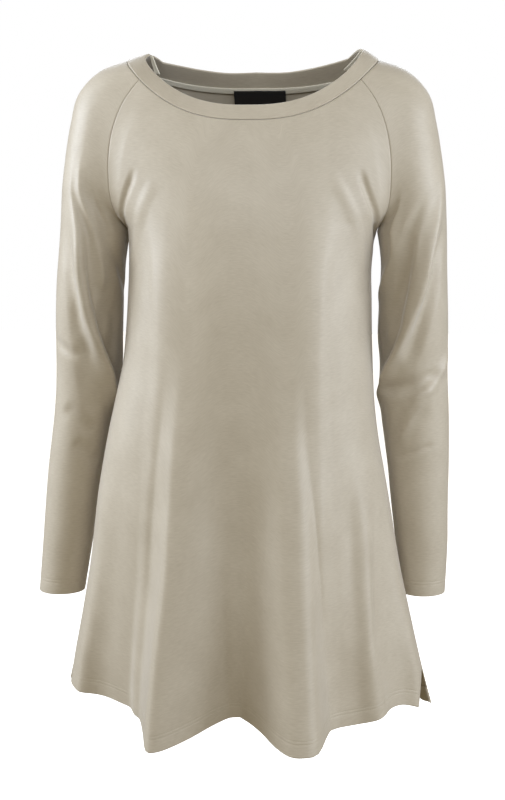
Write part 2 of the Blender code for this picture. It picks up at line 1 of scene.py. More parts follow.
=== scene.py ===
# Looks for the long-sleeved A-line top: the same cut and folds as its solids, in finer cloth, with its
# seams, turned hems and sewing, in a pale studio.
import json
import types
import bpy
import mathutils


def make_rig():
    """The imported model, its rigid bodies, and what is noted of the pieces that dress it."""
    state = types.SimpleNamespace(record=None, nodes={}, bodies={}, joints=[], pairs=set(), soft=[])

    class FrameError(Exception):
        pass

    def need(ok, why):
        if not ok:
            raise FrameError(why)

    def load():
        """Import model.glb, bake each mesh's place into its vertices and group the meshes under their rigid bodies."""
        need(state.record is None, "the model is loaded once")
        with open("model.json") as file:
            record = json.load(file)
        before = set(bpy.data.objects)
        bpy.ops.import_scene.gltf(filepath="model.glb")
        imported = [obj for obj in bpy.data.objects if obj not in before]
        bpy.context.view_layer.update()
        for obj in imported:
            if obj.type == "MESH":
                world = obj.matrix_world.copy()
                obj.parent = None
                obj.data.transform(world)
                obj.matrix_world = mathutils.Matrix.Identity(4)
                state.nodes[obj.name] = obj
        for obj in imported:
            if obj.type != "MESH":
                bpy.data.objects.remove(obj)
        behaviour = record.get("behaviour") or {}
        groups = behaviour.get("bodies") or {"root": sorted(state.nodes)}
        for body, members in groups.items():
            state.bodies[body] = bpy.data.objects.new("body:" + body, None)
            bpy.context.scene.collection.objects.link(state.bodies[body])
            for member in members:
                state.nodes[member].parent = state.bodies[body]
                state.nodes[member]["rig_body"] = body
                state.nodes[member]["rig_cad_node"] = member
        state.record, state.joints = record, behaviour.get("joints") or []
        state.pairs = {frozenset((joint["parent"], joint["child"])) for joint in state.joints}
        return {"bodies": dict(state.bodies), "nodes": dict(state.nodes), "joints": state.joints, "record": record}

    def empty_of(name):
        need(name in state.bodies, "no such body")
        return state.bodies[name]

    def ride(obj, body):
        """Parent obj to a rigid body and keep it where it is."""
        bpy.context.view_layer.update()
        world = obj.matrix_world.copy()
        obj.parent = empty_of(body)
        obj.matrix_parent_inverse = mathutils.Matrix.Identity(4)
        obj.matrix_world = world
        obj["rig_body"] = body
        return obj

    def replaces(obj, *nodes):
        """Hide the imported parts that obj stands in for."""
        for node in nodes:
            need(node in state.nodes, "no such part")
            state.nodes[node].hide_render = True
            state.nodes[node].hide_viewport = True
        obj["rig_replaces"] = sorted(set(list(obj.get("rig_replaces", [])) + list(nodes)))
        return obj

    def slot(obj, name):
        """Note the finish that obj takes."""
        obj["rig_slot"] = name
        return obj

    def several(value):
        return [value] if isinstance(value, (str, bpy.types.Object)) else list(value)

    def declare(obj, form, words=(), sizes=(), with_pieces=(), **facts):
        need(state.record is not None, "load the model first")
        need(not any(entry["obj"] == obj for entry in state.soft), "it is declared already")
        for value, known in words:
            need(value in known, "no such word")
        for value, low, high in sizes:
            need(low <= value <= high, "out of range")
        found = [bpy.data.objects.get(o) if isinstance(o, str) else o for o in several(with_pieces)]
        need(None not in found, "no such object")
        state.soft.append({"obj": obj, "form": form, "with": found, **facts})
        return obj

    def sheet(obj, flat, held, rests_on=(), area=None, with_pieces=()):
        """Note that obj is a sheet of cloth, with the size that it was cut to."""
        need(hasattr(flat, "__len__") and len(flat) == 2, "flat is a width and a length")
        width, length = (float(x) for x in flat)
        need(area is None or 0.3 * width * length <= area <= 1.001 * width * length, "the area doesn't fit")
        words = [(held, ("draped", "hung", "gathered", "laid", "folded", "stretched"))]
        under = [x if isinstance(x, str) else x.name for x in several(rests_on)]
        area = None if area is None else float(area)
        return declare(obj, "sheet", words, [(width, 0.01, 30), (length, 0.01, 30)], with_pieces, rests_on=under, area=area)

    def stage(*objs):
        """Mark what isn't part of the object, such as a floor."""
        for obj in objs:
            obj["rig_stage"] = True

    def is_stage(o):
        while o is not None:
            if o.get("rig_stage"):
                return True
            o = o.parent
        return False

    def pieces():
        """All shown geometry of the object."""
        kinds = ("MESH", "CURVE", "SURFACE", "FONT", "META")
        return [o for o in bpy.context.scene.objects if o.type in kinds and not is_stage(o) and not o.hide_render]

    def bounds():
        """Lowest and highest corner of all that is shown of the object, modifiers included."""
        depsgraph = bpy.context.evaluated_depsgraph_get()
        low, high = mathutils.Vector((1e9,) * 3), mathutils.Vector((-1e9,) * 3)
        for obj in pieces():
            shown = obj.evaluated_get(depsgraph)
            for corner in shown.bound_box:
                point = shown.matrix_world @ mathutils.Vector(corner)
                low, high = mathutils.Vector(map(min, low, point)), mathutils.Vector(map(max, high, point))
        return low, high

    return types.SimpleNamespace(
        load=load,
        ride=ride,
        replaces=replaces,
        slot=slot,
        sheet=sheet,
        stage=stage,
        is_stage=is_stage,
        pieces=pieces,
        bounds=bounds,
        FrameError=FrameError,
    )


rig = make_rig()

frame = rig.load()
CAD_LOW, CAD_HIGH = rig.bounds()

import json
import math
from collections import defaultdict, namedtuple

import bmesh
import bpy
import numpy as np
from mathutils import Vector


def table(columns, *rows):
    """Rows of values under named columns."""
    row_type = namedtuple("Row", columns)
    return [row_type(*row) for row in rows]


# Cloth
CLOTH = 0.0015

# Net density
FRONT_COLUMNS = 50
BACK_COLUMNS = 32
SLEEVE_COLUMNS = 22
SKIRT_ROWS = 14
SHOULDER_ROWS = 8
ARM_ROWS = 14

# Heights
UNDERARM = -0.210
HEM = -0.822
SLIT_TOP = -0.768
FRONT_NECK = -0.073
BACK_NECK = -0.035

# Details
SIDE_SEAM_Y = 0.004
SLIT_SPREAD = 0.006
BACK_SLIT_FLARE = 0.005
BAND_HEIGHT = 0.024
RIGHT_TIP_RISE = 0.0045
LEFT_TIP_RISE = -0.002
TAPE_WIDTH = 0.0088
TAPE_DROP = -0.0040
TAPE_FRONT_Y = 0.010
LABEL_WIDTH = 0.066
LABEL_MIDDLE = 0.004
LABEL_TOP = -0.0020
LABEL_DROP = 0.0240

# The torso's plain shape, before its folds: how far it reaches to each side, and how square it is.
TORSO = table(
    "height right left roundness",
    (-0.850, 0.2390, 0.2310, 2.05),
    (-0.790, 0.2370, 0.2225, 2.05),
    (-0.712, 0.2230, 0.2055, 2.10),
    (-0.634, 0.2095, 0.1885, 2.10),
    (-0.545, 0.1985, 0.1735, 2.15),
    (-0.450, 0.1810, 0.1570, 2.20),
    (-0.377, 0.1645, 0.1520, 2.25),
    (-0.300, 0.1575, 0.1500, 2.30),
    (-0.240, 0.1550, 0.1500, 2.30),
    (-0.210, 0.1555, 0.1555, 2.30),
)

# How deep the garment is at its middle, in front and behind, from the hem to the neckline.
MIDDLE = table(
    "height front back",
    (-0.850, -0.110, 0.122),
    (-0.700, -0.114, 0.119),
    (-0.560, -0.118, 0.112),
    (-0.430, -0.120, 0.104),
    (-0.330, -0.122, 0.102),
    (-0.270, -0.121, 0.104),
    (-0.210, -0.116, 0.106),
    (-0.160, -0.107, 0.104),
    (-0.110, -0.092, 0.096),
    (-0.073, -0.078, 0.083),
    (-0.035, -0.062, 0.066),
)

# Soft folds of the skirt. Angles run round from the centre front, positive towards the wearer's left,
# and each fold stands out towards the heading in its own column. A larger flatness widens its top.
FLUTES = table(
    "angle right_reach left_reach depth heading flatness top growth",
    (-44, 26, 11, -0.024, -20, 1.8, -0.460, 1.3),
    (-24, 8.5, 17, 0.067, -11, 1.15, -0.330, 1.5),
    (-1, 14, 9, -0.028, 0, 1.2, -0.400, 1.4),
    (18.5, 13, 8, 0.064, 3, 1.6, -0.360, 1.6),
    (42, 12, 14, 0.005, 35, 1.2, -0.450, 1.4),
    (64, 18, 16, -0.016, 50, 1.2, -0.480, 1.4),
    (126, 22, 18, 0.028, 135, 1.3, -0.420, 1.5),
    (149, 16, 15, -0.024, 160, 1.2, -0.430, 1.4),
    (172, 20, 17, 0.044, 175, 1.4, -0.350, 1.5),
    (196, 16, 17, -0.022, 190, 1.2, -0.430, 1.4),
    (221, 19, 22, 0.036, 215, 1.4, -0.380, 1.5),
)

# Where the hem is lifted over its usual height.
LIFTS = table(
    "angle right_reach left_reach rise",
    (-90, 60, 75, 0.026),
    (-3, 22, 13, 0.009),
    (55, 28, 60, 0.011),
)
HEM_SAG = 0.22

# Sections of a sleeve from the underarm up to the neckline. Each runs from the front raglan seam over
# the outer edge to the back raglan seam, as part of an ellipse that starts at the angle "start".
SHOULDER = table(
    "front_x front_z back_x back_z outer_x outer_z mid_y depth start",
    (0.1555, -0.210, 0.1555, -0.210, 0.2430, -0.210, 0.004, 0.058, -90),
    (0.1615, -0.199, 0.1605, -0.198, 0.2420, -0.186, 0.004, 0.058, -72),
    (0.1680, -0.187, 0.1660, -0.185, 0.2405, -0.161, 0.003, 0.059, -50),
    (0.1720, -0.169, 0.1700, -0.167, 0.2375, -0.135, 0.003, 0.061, -32),
    (0.1735, -0.143, 0.1715, -0.141, 0.2335, -0.107, 0.002, 0.063, -16),
    (0.1725, -0.112, 0.1700, -0.110, 0.2280, -0.077, 0.002, 0.063, -2),
    (0.1670, -0.081, 0.1630, -0.077, 0.2185, -0.042, 0.002, 0.061, 10),
    (0.1545, -0.050, 0.1490, -0.044, 0.1925, -0.014, 0.002, 0.056, 20),
    (0.1355, -0.024, 0.1290, -0.018, 0.1560, 0.000, 0.002, 0.050, 28),
)

# Rings of a sleeve below the underarm: where its inner and outer edges are, and its depth.
ARM_COLUMNS = "height inner outer mid_y depth"
RIGHT_ARM = table(
    ARM_COLUMNS,
    (-0.210, 0.1555, 0.2430, 0.004, 0.0580),
    (-0.245, 0.1620, 0.2470, 0.007, 0.0580),
    (-0.290, 0.1650, 0.2515, 0.012, 0.0565),
    (-0.340, 0.1675, 0.2540, 0.019, 0.0540),
    (-0.400, 0.1720, 0.2560, 0.028, 0.0500),
    (-0.450, 0.1840, 0.2605, 0.034, 0.0470),
    (-0.510, 0.1965, 0.2690, 0.038, 0.0430),
    (-0.565, 0.2065, 0.2750, 0.041, 0.0400),
    (-0.620, 0.2150, 0.2800, 0.043, 0.0370),
    (-0.686, 0.2265, 0.2865, 0.046, 0.0330),
)
LEFT_ARM = table(
    ARM_COLUMNS,
    (-0.210, 0.1555, 0.2430, 0.004, 0.0580),
    (-0.245, 0.1605, 0.2435, 0.008, 0.0580),
    (-0.290, 0.1595, 0.2450, 0.017, 0.0565),
    (-0.340, 0.1570, 0.2465, 0.028, 0.0540),
    (-0.385, 0.1600, 0.2450, 0.036, 0.0500),
    (-0.420, 0.1595, 0.2480, 0.041, 0.0490),
    (-0.465, 0.1645, 0.2495, 0.046, 0.0460),
    (-0.510, 0.1705, 0.2500, 0.051, 0.0430),
    (-0.565, 0.1760, 0.2495, 0.056, 0.0400),
    (-0.620, 0.1825, 0.2500, 0.062, 0.0370),
    (-0.684, 0.1890, 0.2475, 0.067, 0.0330),
)

# Creases that wind down a sleeve. Angles run round the sleeve from the underarm seam, over the front.
CREASE_COLUMNS = "top top_angle foot foot_angle reach depth"
RIGHT_CREASES = table(
    CREASE_COLUMNS,
    (-0.120, 135, -0.440, 34, 26, 0.0065),
    (-0.140, 98, -0.420, 8, 26, -0.0085),
    (-0.150, 250, -0.400, 330, 28, 0.0060),
    (-0.170, 290, -0.380, 355, 26, -0.0060),
)
LEFT_CREASES = table(
    CREASE_COLUMNS,
    (-0.120, 165, -0.420, 32, 27, 0.0070),
    (-0.150, 112, -0.400, 12, 27, -0.0085),
    (-0.365, 190, -0.450, 50, 30, 0.0050),
    (-0.150, 235, -0.400, 325, 28, 0.0060),
    (-0.170, 275, -0.380, 350, 26, -0.0060),
)

# How far the neckband leans inwards from upright, round the neckline from front to back.
LEAN = table(
    "angle right left",
    (0, 42, 42),
    (60, 48, 44),
    (90, 74, 57),
    (120, 44, 38),
    (180, 25, 25),
)

# Reaches, in degrees round the garment
SLIT_REACH = 14
TIP_REACH = 9

# How the chest's rows change upwards: how soon their ends straighten, and how far they dip.
CHEST_STRAIGHTENING = 2.2
UNDERARM_SMILE = 2
NECK_SMILE = 2.6

# How quickly a sleeve's creases fade towards their ends.
CREASE_TAPER = 1.3

# How the net is evened beside the raglan seams: from which row, how much at each step away from the
# seam, and how many times.
EVEN_FROM_ROW = 3
EVEN_SHARES = (0.6, 0.5, 0.4, 0.25)
EVEN_ROUNDS = 12

# The fine net. A panel has so many parts to a coarse column, a side that looks out, and an angle that its
# columns start from and turn through. Then come the parts to a coarse row, and the places of the closer
# rows and columns: in coarse ones at the underarm and the seams, in metres at a hem.
PANELS = table(
    "name parts facing first_angle turn",
    ("front", 3, 1, -90, 180),
    ("back", 5, 1, 90, 180),
    ("sleeve_left", 6, 1, 0, 360),
    ("sleeve_right", 6, -1, 0, 360),
)
NECK_ORDER = ("front", "sleeve_left", "back", "sleeve_right")
SKIRT_PARTS = 13
CHEST_PARTS = 6
ARM_PARTS = 10
CLOSE_GAP = 0.4
UNDERARM_STEPS = (0.02,)
SEAM_STEPS = (0.03, 0.08, 0.15, 0.24, 0.36, 0.52, 0.74)
HEM_STEPS = (0.0005, 0.0012, 0.0024, 0.004, 0.007, 0.0105, 0.0138, 0.0146, 0.0150, 0.0154, 0.0162, 0.0171)
HEM_STEPS += (0.0179, 0.0187, 0.0191, 0.0195, 0.0203, 0.0206, 0.0212, 0.0225, 0.0250, 0.0280)

# Cloth and sewing
JERSEY = 0.0012
SEAM_DEPTH = 0.0011
SEAM_REACH = 0.0018
STITCH_LINES = (0.0150, 0.0191)
STITCH_DIP = 0.00022
STITCH_DIP_REACH = 0.0011
HEM_ALLOWANCE = 0.0204
HEM_FOLD = 0.0011
STITCH_PITCH = 0.0033
STITCH_LENGTH = 0.0029
THREAD = 0.00042
HEM_EDGE = 0.0002
INNER_ROLL = 0.6
RIM_TURNS = (45, 90, 135)

# Each stitch as rings of points along it, with its ends sunk into the cloth.
STITCH_RINGS = table("share width", (-0.5, 0.3), (-0.4, 0.85), (0, 1), (0.4, 0.85), (0.5, 0.3))
STITCH_SIDES = 5
STITCH_AHEAD = 0.0005
STITCH_SINK = 0.7
STITCH_ROW = 20
HEM_ROWS = 60

# How far, in coarse columns, the bend at the underarm is sharp beside a seam, over how many coarse rows
# the sleeves' and the body's normals come to meet above it, and how many fine rows the tape may lie on.
SPLIT_REACH = 2.5
JOIN_ROWS = 2
TAPE_ROWS = 40

# How the fine net is evened round the armpits: between which heights, how far in from the seams, how many
# times and how much. The ring is the bend of a sleeve's net at the underarm.
CALM_FOOT = -0.330
CALM_ARM_FOOT = -0.300
CALM_FADE = 0.05
CALM_SEAM = 0.004
CALM_NECK = 0.020
CALM_REACH = 0.115
CALM_SLEEVE = 0.075
CALM_ROUNDS = 220
CALM_PULL = 0.9
RING_REACH = 0.055
RING_ROUNDS = 90

# The vent's front edge on the wearer's left side falls open, so that the back shows behind it.
VENT_PULL = 0.015
VENT_REACH = 0.060
VENT_SHARES = (1, 0.35, 0)
VENT_FALL = 1.2
VENT_FADE = 1.5

# Where the raglan seams are: a body panel and its edge column, a sleeve and its edge column.
RAGLANS = [
    ("front", -1, "sleeve_left", 0),
    ("front", 0, "sleeve_right", 0),
    ("back", 0, "sleeve_left", -1),
    ("back", -1, "sleeve_right", -1),
]

# Metres of cloth to a degree, round the body and round a sleeve
BODY_DEGREE = 0.0027
SLEEVE_DEGREE = 0.00065

# A fold's line has so many parts between two of its points. It fades over a share of its line at each
# end, and beside a raglan seam. One with a short low reach has a crisp top, rounded by the corner.
FOLD_PARTS = 6
FOLD_FADE = 0.22
FOLD_SEAM = 0.010
FOLD_CRISP = 0.016
FOLD_CORNER = 0.0016

# Folds too fine for the solids, for each sleeve, for both and for the front and back. Each runs through
# its points, an angle round the piece and a height, and stands out by its depth, or in. It fades over the
# low reach on the side of the lower angles, or below where it runs across, and over the high reach on the
# other.
FOLD_COLUMNS = "depth low_reach high_reach line"
FOLDS = {
    "sleeve_right": table(
        FOLD_COLUMNS,
        (0.0092, 0.010, 0.014, (
            (104, -0.110), (98, -0.230), (82, -0.309), (58, -0.365), (28, -0.420), (-8, -0.470),
        )),
        (-0.0065, 0.014, 0.011, ((102, -0.150), (78, -0.258), (65, -0.309), (49, -0.353), (10, -0.420))),
        (0.0052, 0.014, 0.018, ((74, -0.110), (78, -0.205), (64, -0.250), (48, -0.290))),
        (-0.0028, 0.009, 0.009, ((38, -0.140), (53, -0.216), (29, -0.251), (-14, -0.300))),
        (-0.0022, 0.010, 0.010, ((165, -0.348), (131, -0.358), (90, -0.372))),
        (-0.0028, 0.015, 0.015, ((125, -0.432), (100, -0.446), (76, -0.459), (48, -0.467))),
        (-0.0026, 0.014, 0.013, ((94, -0.478), (72, -0.490), (50, -0.502), (26, -0.512))),
        (-0.0026, 0.015, 0.015, ((92, -0.340), (82, -0.400), (55, -0.450))),
        (-0.0030, 0.012, 0.015, (
            (128, -0.190), (118, -0.244), (102, -0.285), (98, -0.322), (84, -0.366), (62, -0.405),
        )),
    ),
    "sleeve_left": table(
        FOLD_COLUMNS,
        (0.0090, 0.010, 0.014, (
            (146, -0.120), (114, -0.240), (88, -0.310), (66, -0.355), (32, -0.402), (-5, -0.445),
        )),
        (-0.0065, 0.014, 0.011, ((94, -0.150), (78, -0.244), (65, -0.295), (57, -0.345), (10, -0.395))),
        (-0.0062, 0.013, 0.014, (
            (146, -0.190), (130, -0.238), (121, -0.281), (107, -0.312), (92, -0.348), (74, -0.385),
        )),
        (0.0034, 0.008, 0.010, ((22, -0.150), (53, -0.226), (33, -0.264), (-8, -0.310))),
        (-0.0055, 0.015, 0.016, ((15, -0.408), (78, -0.406), (150, -0.385))),
        (0.0050, 0.010, 0.012, ((175, -0.350), (140, -0.390), (112, -0.407), (86, -0.427), (64, -0.460))),
        (0.0032, 0.009, 0.010, ((112, -0.415), (82, -0.447), (54, -0.485))),
        (-0.0018, 0.007, 0.007, ((40, -0.502), (82, -0.491), (125, -0.479))),
    ),
    "sleeve": table(
        FOLD_COLUMNS,
        (0.0045, 0.013, 0.018, ((228, -0.120), (262, -0.280), (318, -0.410))),
        (-0.0045, 0.013, 0.013, ((268, -0.140), (298, -0.280), (350, -0.400))),
        (0.0032, 0.013, 0.013, ((190, -0.376), (240, -0.395), (290, -0.388))),
        (-0.0026, 0.012, 0.012, ((200, -0.420), (250, -0.440), (300, -0.432))),
    ),
    "body": table(
        FOLD_COLUMNS,
        (0.0032, 0.026, 0.050, ((-46, -0.140), (-39, -0.289), (-36, -0.413), (-34, -0.480), (-33, -0.550))),
        (0.0040, 0.054, 0.026, ((38, -0.140), (33, -0.300), (31, -0.482), (28, -0.607), (26, -0.708))),
        (0.0190, 0.052, 0.052, ((-1, -0.530), (-2, -0.800), (-2, -1.050), (-1, -1.300))),
        (0.0032, 0.034, 0.018, ((61, -0.500), (53, -0.618), (49, -0.665), (45, -0.720), (43, -0.800))),
        (0.0052, 0.056, 0.030, ((-38, -0.460), (-36, -0.644), (-35, -0.740), (-34, -1.100))),
        (0.0066, 0.060, 0.024, ((29, -0.440), (28, -0.590), (25.5, -0.708), (24, -0.790), (24, -1.050))),
        (-0.0060, 0.026, 0.022, ((48, -0.480), (45, -0.605), (40, -0.715), (38, -0.790), (37, -1.050))),
        (-0.0040, 0.012, 0.012, ((62, -0.130), (70, -0.178), (94, -0.235))),
        (0.0018, 0.020, 0.014, ((42, -0.130), (56, -0.195), (74, -0.262))),
        (-0.0034, 0.012, 0.012, ((-62, -0.130), (-74, -0.182), (-94, -0.235))),
        (0.0014, 0.016, 0.020, ((-46, -0.140), (-58, -0.200), (-74, -0.262))),
        (0.0040, 0.034, 0.022, ((140, -0.260), (148, -0.480), (147, -0.660), (146, -0.920))),
        (0.0036, 0.022, 0.034, ((216, -0.260), (208, -0.480), (209, -0.660), (210, -0.920))),
        (-0.0030, 0.024, 0.024, ((184, -0.380), (184, -0.620), (184, -0.920))),
        (-0.0022, 0.022, 0.020, ((130, -0.120), (114, -0.180), (88, -0.240))),
        (-0.0022, 0.020, 0.022, ((230, -0.120), (246, -0.180), (272, -0.240))),
    ),
}

# Neckband, tape, label and the seam allowances that stand up at the neckband's joints
FOLDED_BAND = 0.0028
TAPE_CLOTH = 0.0013
TAPE_ROLL = 0.0007
TAPE_EVEN = 0.8
TAPE_SWELL = 0.7
TAPE_RIB = 0.0002
TAPE_RIB_PITCH = 0.0019
TAPE_STEP = 0.00045
TAPE_SHARES = (0, 0.05, 0.13, 0.25, 0.38, 0.50, 0.62, 0.75, 0.87, 0.95, 1)
BAND_BACK = 0.0026
BAND_BACK_FADE = 0.0015
FLAP_WIDTHS = (0.0030, 0.0062)
FLAP_FORWARD = 0.0015
FLAP_ROOT = 0.0010
FLAP_CLOTH = 0.0016
FLAP_LENGTH = 0.023
FLAP_LEAN = (0.006, 0.017)
FLAP_TOP = 4
FLAP_BEND = 1.2
FLAP_ROWS = 17
FLAP_COLUMNS = 7
LABEL_CLOTH = 0.0008
LABEL_ROWS = 17
LABEL_COLUMNS = 41
SEAM_GAP = 0.0004
LAID_GAP = 0.0004
BAND_STEPS = (0.0, 0.0003, 0.0008, 0.0014, 0.0022, 0.004, 0.007, 0.010, 0.013, 0.016, 0.019, 0.0215, 0.024)
BAND_TURNS = range(15, 180, 25)
BAND_PUFF = 0.0005
BAND_SWELL = 0.6
BAND_CORE = 0.0001
BAND_ROOT = 0.004
BACK_RISE = 0.0055
BACK_RISE_ANGLE = 106
BACK_RISE_REACH = 50
BAND_JOINT_DIP = 0.7
BAND_JOINT_REACH = 1.2

# Materials
RIB_PITCH = 0.0009
COURSE_PITCH = 0.0007
STREAK_SCALE = (110, 760, 1)
JERSEY_DARK = (0.450, 0.391, 0.300)
JERSEY_LIGHT = (0.550, 0.489, 0.390)
KNIT_SHARE = 0.3
KNIT_STRENGTH = 0.35
KNIT_DEPTH = 0.00012
JERSEY_FINISH = {
    "Roughness": 0.48,
    "Specular_IOR_Level": 0.55,
    "Sheen_Weight": 0.60,
    "Sheen_Roughness": 0.42,
    "Sheen_Tint": (0.97, 0.97, 1.0, 1),
}

# Thread, tape and label, each with a grain so fine and so deep. Its colour varies between two shares.
PLAIN = table(
    "name shade roughness sheen grain depth",
    ("thread", (0.44, 0.38, 0.28), 0.7, 0.2, 900, 0.0001),
    ("tape_cotton", (0.74, 0.69, 0.57), 0.8, 0.3, 1500, 0.0001),
    ("label_satin", (0.012, 0.012, 0.015), 0.45, 0.1, 1800, 0.00008),
)
PLAIN_SHARES = (0.82, 1.15)
PLAIN_STRENGTH = 0.4

# Studio
LIGHT_AIM = (0, 0, -0.35)
LIGHTS = table(
    "name place width height power colour",
    ("left_front_soft", (-1.70, -0.55, 0.30), 1.1, 1.4, 19.5, (0.86, 0.92, 1.0)),
    ("left_side_soft", (-1.78, 0, 0.35), 0.9, 1.4, 28, (0.76, 0.85, 1.0)),
    ("right_side_soft", (1.76, -0.30, -0.05), 0.9, 1.4, 18, (0.78, 0.86, 1.0)),
    ("right_front_soft", (1.45, -1.05, 0.10), 1.1, 1.4, 14, (0.80, 0.88, 1.0)),
    ("back_soft", (0, 3.0, 1.2), 2.2, 1.2, 40, (0.86, 0.92, 1.0)),
    ("front_soft", (0, -3.0, 1.2), 2.2, 1.2, 36, (0.82, 0.89, 1.0)),
)
FILL_COLOUR = (1.0, 0.81, 0.44)
FILL_STRENGTH = 0.25
FLOOR = -1.30
FLOOR_REACH = 9
CAMERA_PLACE = (0.20917, -2.39087, -0.084)
CAMERA_AIM = (0, 0, -0.425)
CAMERA_LENS = 85.893

# The flat cut of each piece: width and length, how it is held, and its area where it isn't a rectangle.
SHEETS = {
    "front": {"flat": (0.640, 0.800), "held": "hung", "area": 0.37},
    "back": {"flat": (0.600, 0.810), "held": "hung", "area": 0.37},
    "sleeve_left": {"flat": (0.300, 0.720), "held": "hung", "area": 0.165},
    "sleeve_right": {"flat": (0.300, 0.720), "held": "hung", "area": 0.165},
    "neckband_front": {"flat": (0.350, 0.050), "held": "folded"},
    "neckband_back": {"flat": (0.330, 0.050), "held": "folded"},
    "label": {"flat": (0.066, 0.026), "held": "hung"},
}


def read(rows, column, at):
    """The column's value at that place along the table's first column, on a smooth curve."""
    rows = sorted(rows)
    return smooth_read([row[0] for row in rows], [getattr(row, column) for row in rows], at)


def smooth_read(xs, ys, at):
    """The value at a place between known ones, by a cubic through each pair with averaged slopes."""
    last = len(xs) - 1
    k = min(max(int(np.searchsorted(xs, at)) - 1, 0), last - 1)
    span = xs[k + 1] - xs[k]

    def slope(i):
        a, b = max(i - 1, 0), min(i + 1, last)
        return (ys[b] - ys[a]) / (xs[b] - xs[a])

    t = (at - xs[k]) / span
    return (
        ys[k] * (2 * t**3 - 3 * t**2 + 1)
        + ys[k + 1] * (3 * t**2 - 2 * t**3)
        + span * slope(k) * (t**3 - 2 * t**2 + t)
        + span * slope(k + 1) * (t**3 - t**2)
    )


def hill(offset, below, above=None, flatness=1.0):
    """A soft hill: 1 at no offset, 0 beyond the reach on that side. Flatness widens its top."""
    reach = np.where(np.asarray(offset) < 0, below, below if above is None else above)
    return np.cos(np.clip(np.abs(offset) / reach, 0, 1) ** flatness * math.pi / 2) ** 2


def turned(angle):
    """The angle brought between -180 and 180 degrees."""
    return (angle + 180) % 360 - 180


def signed_power(value, power):
    return math.copysign(abs(value) ** power, value)


def flute_push(angle, height):
    """How far the skirt's folds push a point there, sideways and forwards."""
    push = np.zeros(3)
    for flute in FLUTES:
        if height < flute.top:
            grown = ((flute.top - height) / (flute.top - HEM)) ** flute.growth
            offset = turned(angle - flute.angle)
            near = hill(offset, flute.right_reach, flute.left_reach, flute.flatness)
            heading = math.radians(flute.heading)
            push += flute.depth * grown * near * np.array([math.sin(heading), -math.cos(heading), 0])
    return push


def hem_height(angle):
    """The hem hangs lower where the skirt stands out."""
    out = flute_push(angle, HEM) @ (math.sin(math.radians(angle)), -math.cos(math.radians(angle)), 0)
    height = HEM - HEM_SAG * out
    for lift in LIFTS:
        height += lift.rise * hill(turned(angle - lift.angle), lift.right_reach, lift.left_reach)
    return height


def torso_point(angle, height):
    """A point of the torso tube. The angle is 0 at the centre front and 90 at the wearer's left side."""
    s, c = math.sin(math.radians(angle)), math.cos(math.radians(angle))
    power = 2 / read(TORSO, "roundness", height)
    half_width = read(TORSO, "left" if s > 0 else "right", height)
    middle = read(MIDDLE, "front" if c > 0 else "back", height)
    x = half_width * signed_power(s, power)
    y = SIDE_SEAM_Y + (middle - SIDE_SEAM_Y) * abs(c) ** power
    return np.array([x, y, height]) + flute_push(angle, height)


def slit_open(point, angle, back):
    """Below its top, the slit's front and back edges part, and the back edge stands out a little."""
    if point[2] >= SLIT_TOP:
        return point
    side = hill(abs(turned(angle)) - 90, SLIT_REACH)
    share = (SLIT_TOP - point[2]) / (SLIT_TOP - HEM) * side
    spread = SLIT_SPREAD * share * (1 if back else -1)
    flare = math.copysign(BACK_SLIT_FLARE * share, point[0]) if back else 0
    return point + (flare, spread, 0)


def skirt_row(row, columns, back):
    """A row of a body panel, which runs level underarm and follows the hem's dips at the hem."""
    points = []
    for column in range(columns + 1):
        angle = (90 if back else -90) + 180 * column / columns
        low = hem_height(angle)
        height = low + (UNDERARM - low) * row / SKIRT_ROWS
        points.append(slit_open(torso_point(angle, height), angle, back))
    return points


def shoulder_point(row, share, side):
    """A point of a sleeve's section above the underarm, from the front seam at 0 to the back at 1."""
    at = row / SHOULDER_ROWS * (len(SHOULDER) - 1)
    places = range(len(SHOULDER))
    section = SHOULDER[0]._make(smooth_read(places, column, at) for column in zip(*SHOULDER))
    start = math.radians(section.start)
    angle = start + (math.pi - 2 * start) * share
    front = np.array([section.front_x, section.front_z])
    rear = np.array([section.back_x, section.back_z])
    outer = np.array([section.outer_x, section.outer_z])
    rise = (outer - (front + rear) / 2) / (1 - math.sin(start))
    x, z = outer + rise * (math.sin(angle) - 1) + (front - rear) * (0.5 - share)
    y = section.mid_y - section.depth * math.cos(angle)
    return np.array([side * x, y, z])


def chest_row(row, columns, back):
    """A row of a body panel above the underarm, from seam to seam and curved down to the neckline."""
    share = row / SHOULDER_ROWS
    right, left = [shoulder_point(row, 1.0 if back else 0.0, side) for side in (-1, 1)]
    middle_z = UNDERARM + ((BACK_NECK if back else FRONT_NECK) - UNDERARM) * share
    middle_y = read(MIDDLE, "back" if back else "front", middle_z)
    roundness = read(TORSO, "roundness", UNDERARM)
    steepness = 1 / (roundness + (1 - roundness) * min(share * CHEST_STRAIGHTENING, 1))
    smile = UNDERARM_SMILE + (NECK_SMILE - UNDERARM_SMILE) * share
    points = []
    for column in range(columns + 1):
        even = 2 * column / columns - 1
        tight = signed_power(math.sin(even * math.pi / 2), 2 / roundness)
        across = tight + (even - tight) * share
        end = left if across > 0 else right
        reach = abs(across)
        arch = (1 - reach**roundness) ** steepness
        x = abs(end[0]) * across
        y = end[1] + (middle_y - end[1]) * arch
        points.append(np.array([x, y, middle_z + (end[2] - middle_z) * reach**smile]))
    return points[::-1] if back else points


def body_panel(columns, back):
    """The front or the back as rows of points, from the hem up to the neckline."""
    skirt = [skirt_row(row, columns, back) for row in range(SKIRT_ROWS)]
    return skirt + [chest_row(row, columns, back) for row in range(SHOULDER_ROWS + 1)]


